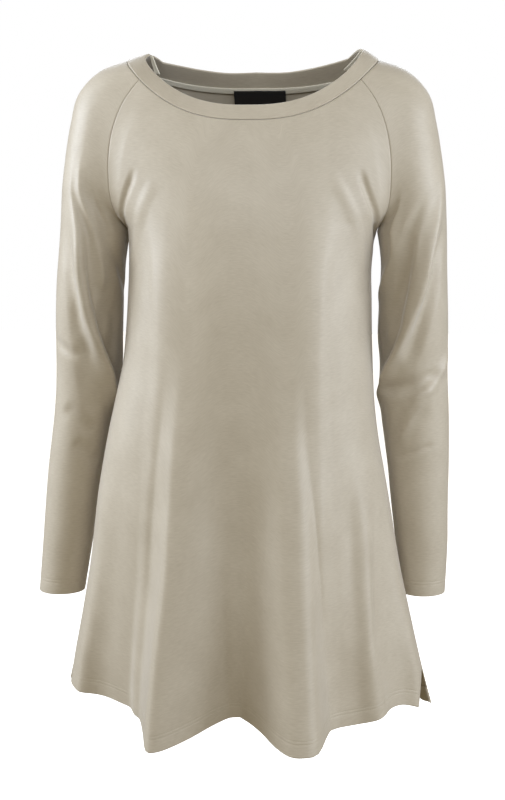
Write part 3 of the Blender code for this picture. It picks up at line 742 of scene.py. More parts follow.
def crease_rise(creases, angle, height):
    """How far a sleeve stands out or in at that place, by the creases that wind down it."""
    rise = 0.0
    for crease in creases:
        share = (crease.top - height) / (crease.top - crease.foot)
        if 0 < share < 1:
            centre = crease.top_angle + (crease.foot_angle - crease.top_angle) * share
            near = hill(turned(angle - centre), crease.reach)
            rise += crease.depth * math.sin(share * math.pi) ** CREASE_TAPER * near
    return rise


def arm_point(row, share, side):
    """A point of a sleeve below the underarm. The share runs round from the seam, over the front."""
    arm = LEFT_ARM if side > 0 else RIGHT_ARM
    height = UNDERARM + (arm[-1].height - UNDERARM) * row / ARM_ROWS
    columns = ("inner", "outer", "mid_y", "depth")
    inner, outer, mid_y, depth = (read(arm, column, height) for column in columns)
    angle = 2 * math.pi * share
    x = (inner + outer) / 2 - (outer - inner) / 2 * math.cos(angle)
    return np.array([side * x, mid_y - depth * math.sin(angle), height])


def sleeve_panel(side):
    """A sleeve as rows of points, from the cuff up to the neckline."""
    shares = [column / SLEEVE_COLUMNS for column in range(SLEEVE_COLUMNS + 1)]
    rows = [[arm_point(row, share, side) for share in shares] for row in range(ARM_ROWS, 0, -1)]
    rows += [[shoulder_point(row, share, side) for share in shares] for row in range(SHOULDER_ROWS + 1)]
    for points in rows:
        centre = np.mean(points, axis=0)
        for share, point in zip(shares[1:-1], points[1:-1]):
            outward = (point - centre) * (1, 1, 0)
            rise = crease_rise(LEFT_CREASES if side > 0 else RIGHT_CREASES, 360 * share, point[2])
            point += outward / np.linalg.norm(outward) * rise
    return rows


class Net:
    """Points shared by the panels, and the neighbours of each."""

    def __init__(self):
        self.points = []
        self.found = {}
        self.neighbours = defaultdict(set)

    def add_panel(self, rows):
        """Adds a grid of points and returns their numbers."""
        grid = np.array([[self.number(point) for point in points] for points in rows])
        for one, two in ((grid[:-1], grid[1:]), (grid[:, :-1], grid[:, 1:])):
            for a, b in zip(one.ravel(), two.ravel()):
                self.neighbours[a].add(b)
                self.neighbours[b].add(a)
        return grid

    def number(self, point):
        key = tuple(np.round(point, 6))
        if key not in self.found:
            self.found[key] = len(self.points)
            self.points.append(point)
        return self.found[key]

    def relax(self, shares, rounds):
        """Evens out the depth of the listed points, so that panels meet smoothly at a seam."""
        for _ in range(rounds):
            level = {k: np.mean([self.points[n][1] for n in self.neighbours[k]]) for k in shares}
            for k, share in shares.items():
                self.points[k][1] += (level[k] - self.points[k][1]) * share


def slope_weights(count, k, toward, sharp):
    """Weights of a curve's slope at point k. At an end or a sharp point it looks one way only."""
    found = np.zeros(count)
    if k not in sharp:
        found[k + 1], found[k - 1] = 0.5, -0.5
        return found
    step = toward - k
    found[toward], found[k] = step, -step
    if toward not in sharp:
        found[toward] += 0.5 * step
        found[toward + step] -= 0.25 * step
        found[k] -= 0.25 * step
    return found


def spline(count, at, splits=()):
    """Weights that read a smooth curve through that many points at those places, sharp at the splits."""
    sharp = {0, count - 1, *splits}
    weights = np.zeros((len(at), count))
    for row, place in zip(weights, at):
        k = min(int(place), count - 2)
        t = place - k
        row[k] += 2 * t**3 - 3 * t**2 + 1
        row[k + 1] += 3 * t**2 - 2 * t**3
        row += (t**3 - 2 * t**2 + t) * slope_weights(count, k, k + 1, sharp)
        row += (t**3 - t**2) * slope_weights(count, k + 1, k, sharp)
    return weights


def spread(count, parts, start, end):
    """Even places along that many points, with closer ones near both ends."""
    last = count - 1
    even = np.linspace(0, last, last * parts + 1)
    gap = CLOSE_GAP / parts
    keep = even[(even > start[-1] + gap) & (even < last - end[-1] - gap)]
    return np.concatenate([[0], start, keep, last - np.array(end)[::-1], [last]])


def above_places():
    """The fine net's rows above the underarm, the same on every panel, counted in coarse rows."""
    return spread(SHOULDER_ROWS + 1, CHEST_PARTS, UNDERARM_STEPS, SEAM_STEPS)


def row_places(rows_below, row_height, parts_below):
    """Rows of the fine net, close at the hem and the neckline."""
    hem = [step / row_height for step in HEM_STEPS]
    below = spread(rows_below + 1, parts_below, hem, UNDERARM_STEPS)[:-2]
    return np.concatenate([below, rows_below + above_places()])


def refine(coarse, rows, columns, underarm):
    """The coarse net read smoothly at those rows and columns, with its edges bent at the underarm."""
    across = spline(coarse.shape[1], columns)
    found = []
    for splits in ((), (underarm,)):
        along = spline(coarse.shape[0], rows, splits)
        found.append(np.einsum("ri,ijk,cj->rck", along, coarse, across))
    last = coarse.shape[1] - 1
    share = hill(np.minimum(columns, last - columns), SPLIT_REACH)
    return found[0] + (found[1] - found[0]) * share[None, :, None]


def units(vectors):
    sizes = np.linalg.norm(vectors, axis=-1, keepdims=True)
    return vectors / np.maximum(sizes, 1e-12)


def lengths(line):
    """How far along a line of points, or along a grid's columns, each point is."""
    steps = np.linalg.norm(np.diff(line, axis=0), axis=-1)
    return np.concatenate([np.zeros_like(steps[:1]), np.cumsum(steps, axis=0)])


def read_line(at, places, line):
    """The points or normals at those places along a line."""
    return np.stack([np.interp(at, places, line[:, axis]) for axis in range(3)], axis=-1)


def face_normals(points, facing):
    """The outward normals of a grid of points."""
    return units(np.cross(np.gradient(points, axis=1), np.gradient(points, axis=0)) * facing)


def from_side(points):
    """How far each point lies from the grid's first column, square to that edge."""
    edge = points[:, :1]
    along = units(np.gradient(edge, axis=0))
    away = points - edge
    return np.linalg.norm(away - along * (away * along).sum(-1, keepdims=True), axis=-1)


def edge_distances(points):
    """How far each point lies from the left, right, bottom and top edges."""
    turned_points = points.transpose(1, 0, 2)
    return (
        from_side(points),
        from_side(points[:, ::-1])[:, ::-1],
        from_side(turned_points).T,
        from_side(turned_points[:, ::-1])[:, ::-1].T,
    )


def seam_dip(distance):
    """Cloth rolls inwards where a seam holds it."""
    share = 1 - np.clip(distance / SEAM_REACH, 0, 1)
    return SEAM_DEPTH * (1 - np.sqrt(1 - share**2))


def stitch_dip(distance):
    """The two rows of a hem's sewing pull the cloth in a little."""
    return sum(STITCH_DIP * hill(distance - line, STITCH_DIP_REACH) for line in STITCH_LINES)


class Cloth:
    """A piece of the garment as a fine grid of points on its outer face."""

    def __init__(self, name, points, angles, facing, seam_rows):
        self.name = name
        self.angles = angles
        self.points = points
        self.facing = facing
        self.normals = face_normals(points, facing)
        self.left, self.right, self.hem, self.neck = edge_distances(points)
        self.seam_rows = seam_rows
        self.lift = np.zeros(points.shape[:2])

    def flat(self):
        """Each point's place on the flat cloth, in metres, across from the middle and up from the hem."""
        across = lengths(self.points.transpose(1, 0, 2)).T
        across = across - across[:, across.shape[1] // 2, None]
        return np.stack([across, lengths(self.points), np.zeros_like(across)], axis=-1)

    def dress(self):
        """Works out the outer and inner faces, with the seams' rolls, the hem's turn and its sewing."""
        seam = np.minimum(self.left, self.right)
        seam[: self.seam_rows] = 1
        rolled = seam_dip(np.minimum(seam, self.neck))
        turned_up = np.clip((HEM_ALLOWANCE - self.hem) / HEM_EDGE + 0.5, 0, 1)
        thick = JERSEY + HEM_FOLD * turned_up
        outer = self.points + self.normals * (self.lift - rolled - stitch_dip(self.hem))[..., None]
        inner = self.points + self.normals * (self.lift - thick - INNER_ROLL * rolled)[..., None]
        return outer, inner


def loop_of(rows, columns):
    """Indices of a grid's boundary, anticlockwise as seen from outside."""
    number = np.arange(rows * columns).reshape(rows, columns)
    return np.concatenate([number[0, :-1], number[:-1, -1], number[-1, :0:-1], number[:0:-1, 0]])


def quads_of(rows, columns, facing):
    """The corners of a grid's faces, turned so that they look out."""
    number = np.arange(rows * columns).reshape(rows, columns)
    corners = (number[:-1, :-1], number[:-1, 1:], number[1:, 1:], number[1:, :-1])
    quads = np.stack(corners, axis=-1).reshape(-1, 4)
    return quads if facing > 0 else quads[:, ::-1]


def shell(name, outer, inner, facing, flat, material, round_rows):
    """A closed piece of cloth between two grids. The rims of the first rows are round, as folds are."""
    rows, columns = outer.shape[:2]
    count = rows * columns
    loop = loop_of(rows, columns)
    grid_rows = loop // columns
    out, into = outer.reshape(-1, 3)[loop], inner.reshape(-1, 3)[loop]
    middle = (out + into) / 2
    along = np.roll(middle, -1, axis=0) - np.roll(middle, 1, axis=0)
    away = units(np.cross(along, out - into)) * facing
    bulge = np.linalg.norm(out - into, axis=1) / 2 * (grid_rows < round_rows)
    rim = []
    for turn in np.radians(RIM_TURNS):
        rim.append(middle + (out - into) / 2 * math.cos(turn) + away * (bulge * math.sin(turn))[:, None])
    points = np.concatenate([outer.reshape(-1, 3), inner.reshape(-1, 3), *rim])
    faces = [quads_of(rows, columns, facing), quads_of(rows, columns, -facing) + count]
    size = len(loop)
    rings = [loop] + [2 * count + k * size + np.arange(size) for k in range(len(rim))] + [loop + count]
    for one, two in zip(rings, rings[1:]):
        side = np.stack([one, two, np.roll(two, -1), np.roll(one, -1)], axis=-1)
        faces.append(side if facing > 0 else side[:, ::-1])
    flat = flat.reshape(-1, 3)
    places = np.concatenate([flat, flat] + [flat[loop]] * len(rim))
    return make_piece(name, points, np.concatenate(faces), places, material)


def make_piece(name, points, faces, places, material):
    """A shown piece from its points and faces, with each point's place on the flat cloth."""
    data = bpy.data.meshes.new(name)
    data.from_pydata(points.tolist(), [], faces.tolist() if hasattr(faces, "tolist") else faces)
    if places is not None:
        flat = data.attributes.new("cloth", "FLOAT_VECTOR", "POINT")
        flat.data.foreach_set("vector", places.astype(np.float32).ravel())
    data.materials.append(material)
    data.shade_smooth()
    made = bpy.data.objects.new(name, data)
    bpy.context.scene.collection.objects.link(made)
    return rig.ride(made, "root")


def coarse_panels():
    """The solids' own net: each panel as rows of points, evened beside the raglan seams."""
    net = Net()
    grids = {
        "front": net.add_panel(body_panel(FRONT_COLUMNS, False)),
        "back": net.add_panel(body_panel(BACK_COLUMNS, True)),
        "sleeve_right": net.add_panel(sleeve_panel(-1)),
        "sleeve_left": net.add_panel(sleeve_panel(1)),
    }
    shares = {}
    for grid in grids.values():
        for points in grid[-SHOULDER_ROWS - 1 :][EVEN_FROM_ROW:-1]:
            for step, share in enumerate(EVEN_SHARES):
                shares[points[step]] = share
                shares[points[-1 - step]] = share
    net.relax(shares, EVEN_ROUNDS)
    return {name: np.array(net.points)[grid] for name, grid in grids.items()}


def build_cloths():
    """The four panels as fine grids, smooth round the armpits, with their folds."""
    coarse = coarse_panels()
    skirt_rows = row_places(SKIRT_ROWS, (UNDERARM - HEM) / SKIRT_ROWS, SKIRT_PARTS)
    arm_rows = row_places(ARM_ROWS, (UNDERARM - RIGHT_ARM[-1].height) / ARM_ROWS, ARM_PARTS)
    nets, plans, made = {}, {}, {}
    for name, parts, _, first_angle, turn in PANELS:
        grid = coarse[name]
        columns = spread(grid.shape[1], parts, SEAM_STEPS, SEAM_STEPS)
        rows, underarm = (arm_rows, ARM_ROWS) if "sleeve" in name else (skirt_rows, SKIRT_ROWS)
        nets[name] = refine(grid, rows, columns, underarm)
        plans[name] = first_angle + turn * columns / (grid.shape[1] - 1)
    calm(nets)
    round_ring(nets["sleeve_left"])
    round_ring(nets["sleeve_right"])
    open_vent(nets["front"])
    for name, _, facing, _, _ in PANELS:
        free = 0 if "sleeve" in name else slit_rows(nets[name])
        made[name] = Cloth(name, nets[name], plans[name], facing, free)
    join_normals(made)
    for cloth in made.values():
        for piece, folds in FOLDS.items():
            if piece in cloth.name or (piece == "body" and "sleeve" not in cloth.name):
                for fold in folds:
                    cloth.lift += fold_lift(cloth, fold)
    return made


def round_ring(points):
    """Rounds the bend that a sleeve's net has at the underarm, along the sleeve."""
    left, right, _, _ = edge_distances(points)
    share = hill(points[..., 2] - UNDERARM, RING_REACH)
    share *= np.clip(np.minimum(left, right) / CALM_NECK, 0, 1)
    share[[0, -1]] = 0
    steps = np.linalg.norm(np.diff(points, axis=0), axis=-1)[..., None]
    for _ in range(RING_ROUNDS):
        even = points[:-2] / steps[:-1] + points[2:] / steps[1:]
        even /= 1 / steps[:-1] + 1 / steps[1:]
        points[1:-1] += (even - points[1:-1]) * share[1:-1, :, None] * CALM_PULL


def open_vent(points):
    """Draws the front's edge inwards below the top of the vent on the wearer's left."""
    _, right, _, _ = edge_distances(points)
    down = np.clip((SLIT_TOP - points[..., 2]) / (SLIT_TOP - HEM), 0, 1) ** VENT_FALL
    near = np.clip(1 - right / VENT_REACH, 0, 1) ** VENT_FADE
    points -= VENT_PULL * (down * near)[..., None] * VENT_SHARES


def calm_share(name, points, underarm):
    """How much each point takes part in the evening round the armpits and the raglan seams."""
    left, right, _, neck = edge_distances(points)
    seam = np.minimum(left, right)
    rows = np.arange(len(points))[:, None]
    foot, reach = (CALM_ARM_FOOT, CALM_SLEEVE) if "sleeve" in name else (CALM_FOOT, CALM_REACH)
    share = np.clip(neck / CALM_NECK, 0, 1)
    share = share * np.clip((points[..., 2] - foot) / CALM_FADE, 0, 1)
    share = share * np.clip((reach - seam) / CALM_FADE, 0, 1)
    share = share * np.where(rows > underarm, 1, np.clip(seam / CALM_SEAM, 0, 1))
    share[: underarm + 1, [0, -1]] = 0
    share[[0, -1]] = 0
    return share * CALM_PULL


def calm(nets):
    """Evens the panels' depth round the armpits and over the raglan seams, where cloth lies smooth."""
    above = above_rows()
    shares = {name: calm_share(name, points, len(points) - above - 1) for name, points in nets.items()}
    steps = {}
    for name, points in nets.items():
        steps[name] = [np.linalg.norm(np.diff(points, axis=axis), axis=-1) for axis in (1, 0)]
    for _ in range(CALM_ROUNDS):
        pulls, holds = {}, {}
        for name, points in nets.items():
            depth = points[..., 1]
            across, along = steps[name]
            pull, held = np.zeros_like(depth), np.zeros_like(depth)
            for far, near, step in (
                (np.s_[:, :-1], np.s_[:, 1:], across),
                (np.s_[:, 1:], np.s_[:, :-1], across),
                (np.s_[:-1], np.s_[1:], along),
                (np.s_[1:], np.s_[:-1], along),
            ):
                pull[near] += depth[far] / step
                held[near] += 1 / step
            pulls[name], holds[name] = pull, held
        for body, column, sleeve, edge in RAGLANS:
            one, two = np.s_[-above:, column], np.s_[-above:, edge]
            for found in (pulls, holds):
                both = found[body][one] + found[sleeve][two]
                found[body][one], found[sleeve][two] = both, both
            both = np.maximum(shares[body][one], shares[sleeve][two])
            shares[body][one], shares[sleeve][two] = both, both
        for name, points in nets.items():
            points[..., 1] += (pulls[name] / holds[name] - points[..., 1]) * shares[name]


def near_line(here, line):
    """How far each place lies to the side of a line, with the side's sign, and its share along it."""
    nearest = np.full(here.shape[:2], np.inf)
    offset, along = np.zeros_like(nearest), np.zeros_like(nearest)
    parts = len(line) - 1
    for k in range(parts):
        step = line[k + 1] - line[k]
        share = np.clip((here - line[k]) @ step / (step @ step), 0, 1)
        gap = here - line[k] - share[..., None] * step
        far = np.linalg.norm(gap, axis=-1)
        near = far < nearest
        nearest[near] = far[near]
        offset[near] = np.copysign(far, step[0] * gap[..., 1] - step[1] * gap[..., 0])[near]
        along[near] = (k + share[near]) / parts
    return offset, along


def fold_lift(cloth, fold):
    """How far one fold lifts each point of a piece off its plain shape."""
    degree = SLEEVE_DEGREE if "sleeve" in cloth.name else BODY_DEGREE
    corners = np.array(fold.line) * (degree, 1)
    last = len(corners) - 1
    line = spline(len(corners), np.linspace(0, last, last * FOLD_PARTS + 1)) @ corners
    middle = np.mean([angle for angle, _ in fold.line])
    angles = (middle + turned(cloth.angles - middle)) * degree
    here = np.stack([np.broadcast_to(angles, cloth.lift.shape), cloth.points[..., 2]], axis=-1)
    offset, along = near_line(here, line)
    low, high = fold.low_reach, fold.high_reach
    if fold.depth > 0 and low < FOLD_CRISP:
        reach = np.where(offset < 0, low, high)
        shape = np.clip(1 - (np.hypot(offset, FOLD_CORNER) - FOLD_CORNER) / reach, 0, 1) ** 2
    else:
        shape = hill(offset, low, high)
    seam = np.minimum(cloth.left, cloth.right)
    above = np.clip((cloth.points[..., 2] - UNDERARM) / FOLD_SEAM, 0, 1)
    held = 1 - above * (1 - np.clip(seam / FOLD_SEAM, 0, 1))
    ends = 1 - np.clip(np.minimum(along, 1 - along) / FOLD_FADE, 0, 1)
    return fold.depth * shape * hill(ends, 1) * held


def slit_rows(points):
    """How many of the first rows lie below the top of the slits."""
    return int((points[:, 0, 2] < SLIT_TOP).sum())


def join_normals(made):
    """Evens the normals along each seam, so that the panels on both sides of it meet."""
    front, back = made["front"].normals, made["back"].normals
    left, right = made["sleeve_left"].normals, made["sleeve_right"].normals
    chest = front.shape[0] - above_rows()
    arm = left.shape[0] - above_rows()
    for one, two in (
        (front[: chest + 1, -1], back[: chest + 1, 0]),
        (front[: chest + 1, 0], back[: chest + 1, -1]),
        (left[: arm + 1, 0], left[: arm + 1, -1]),
        (right[: arm + 1, 0], right[: arm + 1, -1]),
    ):
        both = units(one + two)
        one[:], two[:] = both, both
    share = np.clip(np.linspace(0, SHOULDER_ROWS, above_rows()) / JOIN_ROWS, 0, 1)[:, None]
    for body, column, sleeve, edge in RAGLANS:
        one = made[body].normals[-above_rows() :, column]
        two = made[sleeve].normals[-above_rows() :, edge]
        both = units(one + two)
        one[:], two[:] = units(one + (both - one) * share), units(two + (both - two) * share)


def above_rows():
    """How many fine rows lie above the underarm, on every panel alike."""
    return len(above_places()) - 1


def neck_loop(made, grid):
    """The points or the normals at the neckline, as one loop round all the panels."""
    rows = [getattr(made[name], grid)[-1] for name in NECK_ORDER]
    rows[-1] = rows[-1][::-1]
    return np.concatenate([row[1:] for row in rows])


def plan_angle(point):
    """The point's angle round the neck: 0 in front, 90 at the wearer's left and 180 behind."""
    return math.degrees(math.atan2(point[0], -point[1]))


def band_profile(tall, sunk):
    """The folded band's face, or its hidden one that much deeper: how far up and how far out it is."""
    half = FOLDED_BAND / 2
    profile = []
    for up in BAND_STEPS:
        rolled = seam_dip(up)
        puff = BAND_PUFF * math.sin(math.pi * min(up / tall, 1)) ** BAND_SWELL
        out = max(half - sunk + puff - rolled, BAND_CORE)
        profile.append((up * (tall - half) / BAND_HEIGHT, out))
    for turn in BAND_TURNS:
        angle = math.radians(turn)
        profile.append((tall - half + (half - sunk) * math.sin(angle), (half - sunk) * math.cos(angle)))
    for up in reversed(BAND_STEPS[::2]):
        profile.append((up * (tall - half) / BAND_HEIGHT, sunk - half))
    return profile


def band_lean(foot, reach):
    """Which way the neckband stands at that point of the neckline, and which way its face looks."""
    lean = math.radians(read(LEAN, "left" if foot[0] > 0 else "right", abs(plan_angle(foot))))
    inward = -units(np.array([foot[0] / reach[0] ** 2, foot[1] / reach[1] ** 2, 0]))
    up = inward * math.sin(lean) + np.array([0, 0, math.cos(lean)])
    return up, units(np.array([0, 0, 1]) * math.sin(lean) - inward * math.cos(lean))


def make_flap(name, section, material):
    """The joint's seam allowance, which hangs inside the neckband from its top at a shoulder."""
    top = section[len(BAND_STEPS) + FLAP_TOP]
    inward = np.array([-math.copysign(1, top[0]), 0, 0])
    lean = FLAP_LEAN[int(top[0] > 0)]
    down = np.linspace(0, 1, FLAP_ROWS)[:, None, None]
    share = np.linspace(0, 1, FLAP_COLUMNS)[None, :, None]
    wide = FLAP_WIDTHS[0] + (FLAP_WIDTHS[1] - FLAP_WIDTHS[0]) * down
    drop = inward * lean * down**FLAP_BEND - np.array([0, 0, 1]) * (FLAP_ROOT + FLAP_LENGTH * down)
    face = top + drop + inward * wide * share + np.array([0, -1, 0]) * FLAP_FORWARD * share**2
    normals = face_normals(face, 1)
    flat = np.concatenate([wide * share, FLAP_LENGTH * down + 0 * share, 0 * wide * share], axis=-1)
    back = face - normals * math.copysign(FLAP_CLOTH, -normals[FLAP_ROWS // 2, FLAP_COLUMNS // 2, 1])
    return mend_facing(shell(name, face, back, 1, flat, material, FLAP_ROWS))


def make_band(made, material, allowance):
    """The front and back neckbands, folded along their tops, with a seam between them at each shoulder."""
    points, normals = neck_loop(made, "points"), neck_loop(made, "normals")
    reach = np.max(np.abs(points), axis=0)
    angles = np.array([plan_angle(point) for point in points])
    sections = []
    for foot, out, plan in zip(points, normals, angles):
        angle, left = abs(plan), foot[0] > 0
        up, side = band_lean(foot, reach)
        tip_rise = LEFT_TIP_RISE if left else RIGHT_TIP_RISE
        tall = BAND_HEIGHT + tip_rise * hill(angle - 90, TIP_REACH)
        tall += BACK_RISE * hill(angle - BACK_RISE_ANGLE, BACK_RISE_ANGLE - 90, BACK_RISE_REACH)
        narrowed = 1 - BAND_JOINT_DIP * hill(angle - 90, BAND_JOINT_REACH)
        section = []
        for rise, offset in band_profile(tall, 0) + band_profile(tall, JERSEY)[::-1]:
            low = max(0, 1 - rise / BAND_ROOT)
            across = units(out * low + side * (1 - low))
            section.append(foot + up * (rise + SEAM_GAP) + across * (offset * narrowed - CLOTH / 2))
        sections.append(section)
    sections = np.array(sections)
    right = int(np.argmin(np.abs(angles + 90)))
    left = int(np.argmin(np.abs(angles - 90)))
    loop = np.roll(sections, -right, axis=0)
    split = (left - right) % len(loop)
    closed = np.concatenate([loop, loop[:1]])
    bands = []
    for name, run in (("front", closed[: split + 1]), ("back", closed[split:])):
        run = run.copy()
        for end, beside in ((0, 1), (-1, -2)):
            run[end] += units((run[beside] - run[end]).mean(axis=0)) * SEAM_GAP / 2
        bands.append(make_tube(f"neckband_{name}_cloth", run, material))
    joints = []
    for name, section in (("neckband_flap_right", loop[0]), ("neckband_flap_left", loop[split])):
        joints.append(make_flap(name, section, allowance))
    return bands, joints


def make_tube(name, sections, material):
    """A folded strip of cloth through its sections. Each goes up one face and back down the other."""
    count, size = sections.shape[:2]
    number = np.arange(count * size).reshape(count, size)
    one, two = number[:-1], number[1:]
    faces = np.stack([one, np.roll(one, -1, 1), np.roll(two, -1, 1), two], axis=-1).reshape(-1, 4).tolist()
    for k in range(size // 2 - 1):
        for end in (0, -1):
            faces.append([int(number[end][j]) for j in (k, k + 1, size - 2 - k, size - 1 - k)])
    places = np.zeros((count, size, 3))
    places[..., 0] = lengths(sections.mean(axis=1))[:, None]
    places[..., 1] = lengths(sections[0])
    return mend_facing(make_piece(name, sections.reshape(-1, 3), faces, places.reshape(-1, 3), material))


def mend_facing(piece):
    """Turns a closed piece's faces outwards."""
    mesh = bmesh.new()
    mesh.from_mesh(piece.data)
    bmesh.ops.recalc_face_normals(mesh, faces=mesh.faces)
    mesh.to_mesh(piece.data)
    mesh.free()
    return piece


def on_band(drop):
    """How much of what lies that far below the neckline's seam lies on the band and not on the cloth."""
    return min(max((BAND_BACK_FADE - drop) / (2 * BAND_BACK_FADE), 0), 1)


def below_neck(made, drop):
    """Points that far below the neckline and the normals there, round all panels, or up on the band."""
    points, normals = [], []
    reach = np.max(np.abs(neck_loop(made, "points")), axis=0)
    for name in NECK_ORDER:
        cloth = made[name]
        order = slice(None, None, -1) if name == "sleeve_right" else slice(None)
        rows = cloth.points[:-TAPE_ROWS:-1, order][:, 1:]
        turns = cloth.normals[:-TAPE_ROWS:-1, order][:, 1:]
        down = lengths(rows)
        for k in range(rows.shape[1]):
            up, side = band_lean(rows[0, k], reach)
            points.append(read_line(drop, down[:, k], rows[:, k]) + up * max(-drop, 0))
            normal = read_line(drop, down[:, k], turns[:, k])
            normals.append(normal + (side - normal) * on_band(drop))
    return np.array(points), units(np.array(normals))


def inside_depth(drop):
    """How deep the cloth's or the neckband's inner face lies behind its outer one, with a gap."""
    return JERSEY + (BAND_BACK - JERSEY) * on_band(drop) + LAID_GAP


def inside_strip(name, made, places, drops, depths, thicknesses, material):
    """A strip laid inside the neckline: for each drop, its places round the loop. Its rims are closed."""
    outer, inner = [], []
    for row, drop, depth, thickness in zip(places, drops, depths, thicknesses):
        points, normals = below_neck(made, drop)
        count = np.arange(len(points))
        at, away = read_line(row, count, points), units(read_line(row, count, normals))
        outer.append(at - away * depth)
        inner.append(at - away * (depth + thickness)[:, None])
    outer, inner = np.array(outer), np.array(inner)
    flat = np.zeros_like(outer)
    flat[..., 0] = lengths(outer[0])
    flat[..., 1] = -np.array(drops)[:, None]
    return mend_facing(shell(name, outer, inner, 1, flat, material, 0))


def make_tape(made, material):
    """The narrow overlocked roll over the back neckline's seam, inside, ribbed by its threads."""
    points, _ = below_neck(made, 0)
    behind = np.flatnonzero(points[:, 1] > TAPE_FRONT_Y)
    reach = lengths(points[behind])
    along = np.arange(0, reach[-1], TAPE_STEP)
    row = np.interp(along, reach, behind)
    ribs = TAPE_RIB * np.sin(along * 2 * math.pi / TAPE_RIB_PITCH)
    drops = [TAPE_DROP + TAPE_WIDTH * share for share in TAPE_SHARES]
    depths = [inside_depth(drop) for drop in drops]
    thicknesses = []
    for depth, share in zip(depths, TAPE_SHARES):
        evened = TAPE_CLOTH + (inside_depth(TAPE_DROP) - depth) * TAPE_EVEN
        swell = math.sin(math.pi * share) ** TAPE_SWELL
        thicknesses.append(evened + (TAPE_ROLL + ribs) * swell)
    return inside_strip("neck_tape_cloth", made, [row] * len(drops), drops, depths, thicknesses, material)


def make_label(made, material):
    """The blank woven label, which hangs straight from the tape at the back."""
    drops = np.linspace(LABEL_TOP, LABEL_DROP, LABEL_ROWS)
    over = TAPE_CLOTH + TAPE_ROLL + TAPE_RIB + LAID_GAP
    lower = TAPE_DROP + TAPE_WIDTH
    over += (inside_depth(TAPE_DROP) - inside_depth(lower)) * TAPE_EVEN
    eased = np.clip(1 - (drops - lower) / (LABEL_DROP - lower), 0, 1)
    depths = [inside_depth(drop) + over * float(share) for drop, share in zip(drops, eased)]
    edges = LABEL_MIDDLE - LABEL_WIDTH * np.linspace(-0.5, 0.5, LABEL_COLUMNS)
    places = []
    for drop, depth in zip(drops, depths):
        points, normals = below_neck(made, drop)
        sunk = points - normals * depth
        behind = np.flatnonzero(points[:, 1] > TAPE_FRONT_Y)
        places.append(np.interp(-edges, -sunk[behind, 0], behind))
    thick = [np.full(len(edges), LABEL_CLOTH)] * len(drops)
    return inside_strip("label_cloth", made, places, drops, depths, thick, material)


def stitch_faces():
    """The faces of one stitch, whose points are its rings, one after the other."""
    sides = list(range(STITCH_SIDES))
    last = STITCH_SIDES * (len(STITCH_RINGS) - 1)
    faces = []
    for start in range(0, last, STITCH_SIDES):
        for j in sides:
            a, b = start + j, start + (j + 1) % STITCH_SIDES
            faces.append([a, b, b + STITCH_SIDES, a + STITCH_SIDES])
    return faces + [sides[::-1], [last + j for j in sides]]


def stitches(name, lines, material):
    """A row of short straight stitches along each line of points, lying on the cloth's face."""
    turns = np.radians(np.arange(STITCH_SIDES) * 360 / STITCH_SIDES)
    points, faces = [], []
    for line, normals in lines:
        reach = lengths(line)
        count = max(int(reach[-1] / STITCH_PITCH), 1)
        at = (np.arange(count) + 0.5) * reach[-1] / count
        way = units(read_line(at + STITCH_AHEAD, reach, line) - read_line(at - STITCH_AHEAD, reach, line))
        out = units(read_line(at, reach, normals))
        for place, forward, side, up in zip(read_line(at, reach, line), way, np.cross(way, out), out):
            start = len(points)
            for share, width in STITCH_RINGS:
                sunk = (2 * share) ** 2 * THREAD * STITCH_SINK
                middle = place + forward * share * STITCH_LENGTH - up * sunk
                for turn in turns:
                    points.append(middle + (side * math.cos(turn) + up * math.sin(turn)) * width * THREAD / 2)
            faces += [[corner + start for corner in face] for face in stitch_faces()]
    return mend_facing(make_piece(name, np.array(points), faces, None, material))


def row_line(cloth, outer, distance):
    """The line on a panel's outer face that far above its hem, and the normals there."""
    hem, face = cloth.hem[:HEM_ROWS], outer[:HEM_ROWS]
    line = [read_line(distance, hem[:, k], face[:, k]) for k in range(face.shape[1])]
    return np.array(line), cloth.normals[STITCH_ROW]


def fill(node, **inputs):
    """Sets a node's inputs by name."""
    for name, value in inputs.items():
        node.inputs[name.replace("_", " ")].default_value = value
    return node


def add(tree, kind, **inputs):
    return fill(tree.nodes.new(kind), **inputs)


def math_node(tree, operation, first, second):
    node = tree.nodes.new("ShaderNodeMath")
    node.operation = operation
    for socket, value in zip(node.inputs, (first, second)):
        if isinstance(value, (int, float)):
            socket.default_value = value
        else:
            tree.links.new(value, socket)
    return node.outputs[0]


def wave(tree, place, pitch):
    return math_node(tree, "SINE", math_node(tree, "MULTIPLY", place, 2 * math.pi / pitch), 0)


def noise(tree, place, **inputs):
    node = add(tree, "ShaderNodeTexNoise", **inputs)
    tree.links.new(place, node.inputs["Vector"])
    return node.outputs["Fac"]


def mix(tree, first, first_share, second, second_share):
    """Two values added, each times its share."""
    parts = [math_node(tree, "MULTIPLY", *part) for part in ((first, first_share), (second, second_share))]
    return math_node(tree, "ADD", *parts)


def new_material(name, **inputs):
    """A material, its nodes and its shader, with the shader's inputs set by name."""
    material = bpy.data.materials.new(name)
    material.use_nodes = True
    tree = material.node_tree
    return material, tree, fill(tree.nodes["Principled BSDF"], **inputs)


def colour(tree, shader, amount, dark, light, low=0.0, high=1.0):
    """Colours the shader between dark and light, as the amount goes from low to high."""
    ramp = tree.nodes.new("ShaderNodeValToRGB")
    for end, place, shade in zip(ramp.color_ramp.elements, (low, high), (dark, light)):
        end.position = place
        end.color = (*shade, 1)
    tree.links.new(amount, ramp.inputs["Fac"])
    tree.links.new(ramp.outputs["Color"], shader.inputs["Base Color"])


def roughen(tree, shader, height, strength, distance):
    bump = add(tree, "ShaderNodeBump", Strength=strength, Distance=distance)
    tree.links.new(height, bump.inputs["Height"])
    tree.links.new(bump.outputs["Normal"], shader.inputs["Normal"])


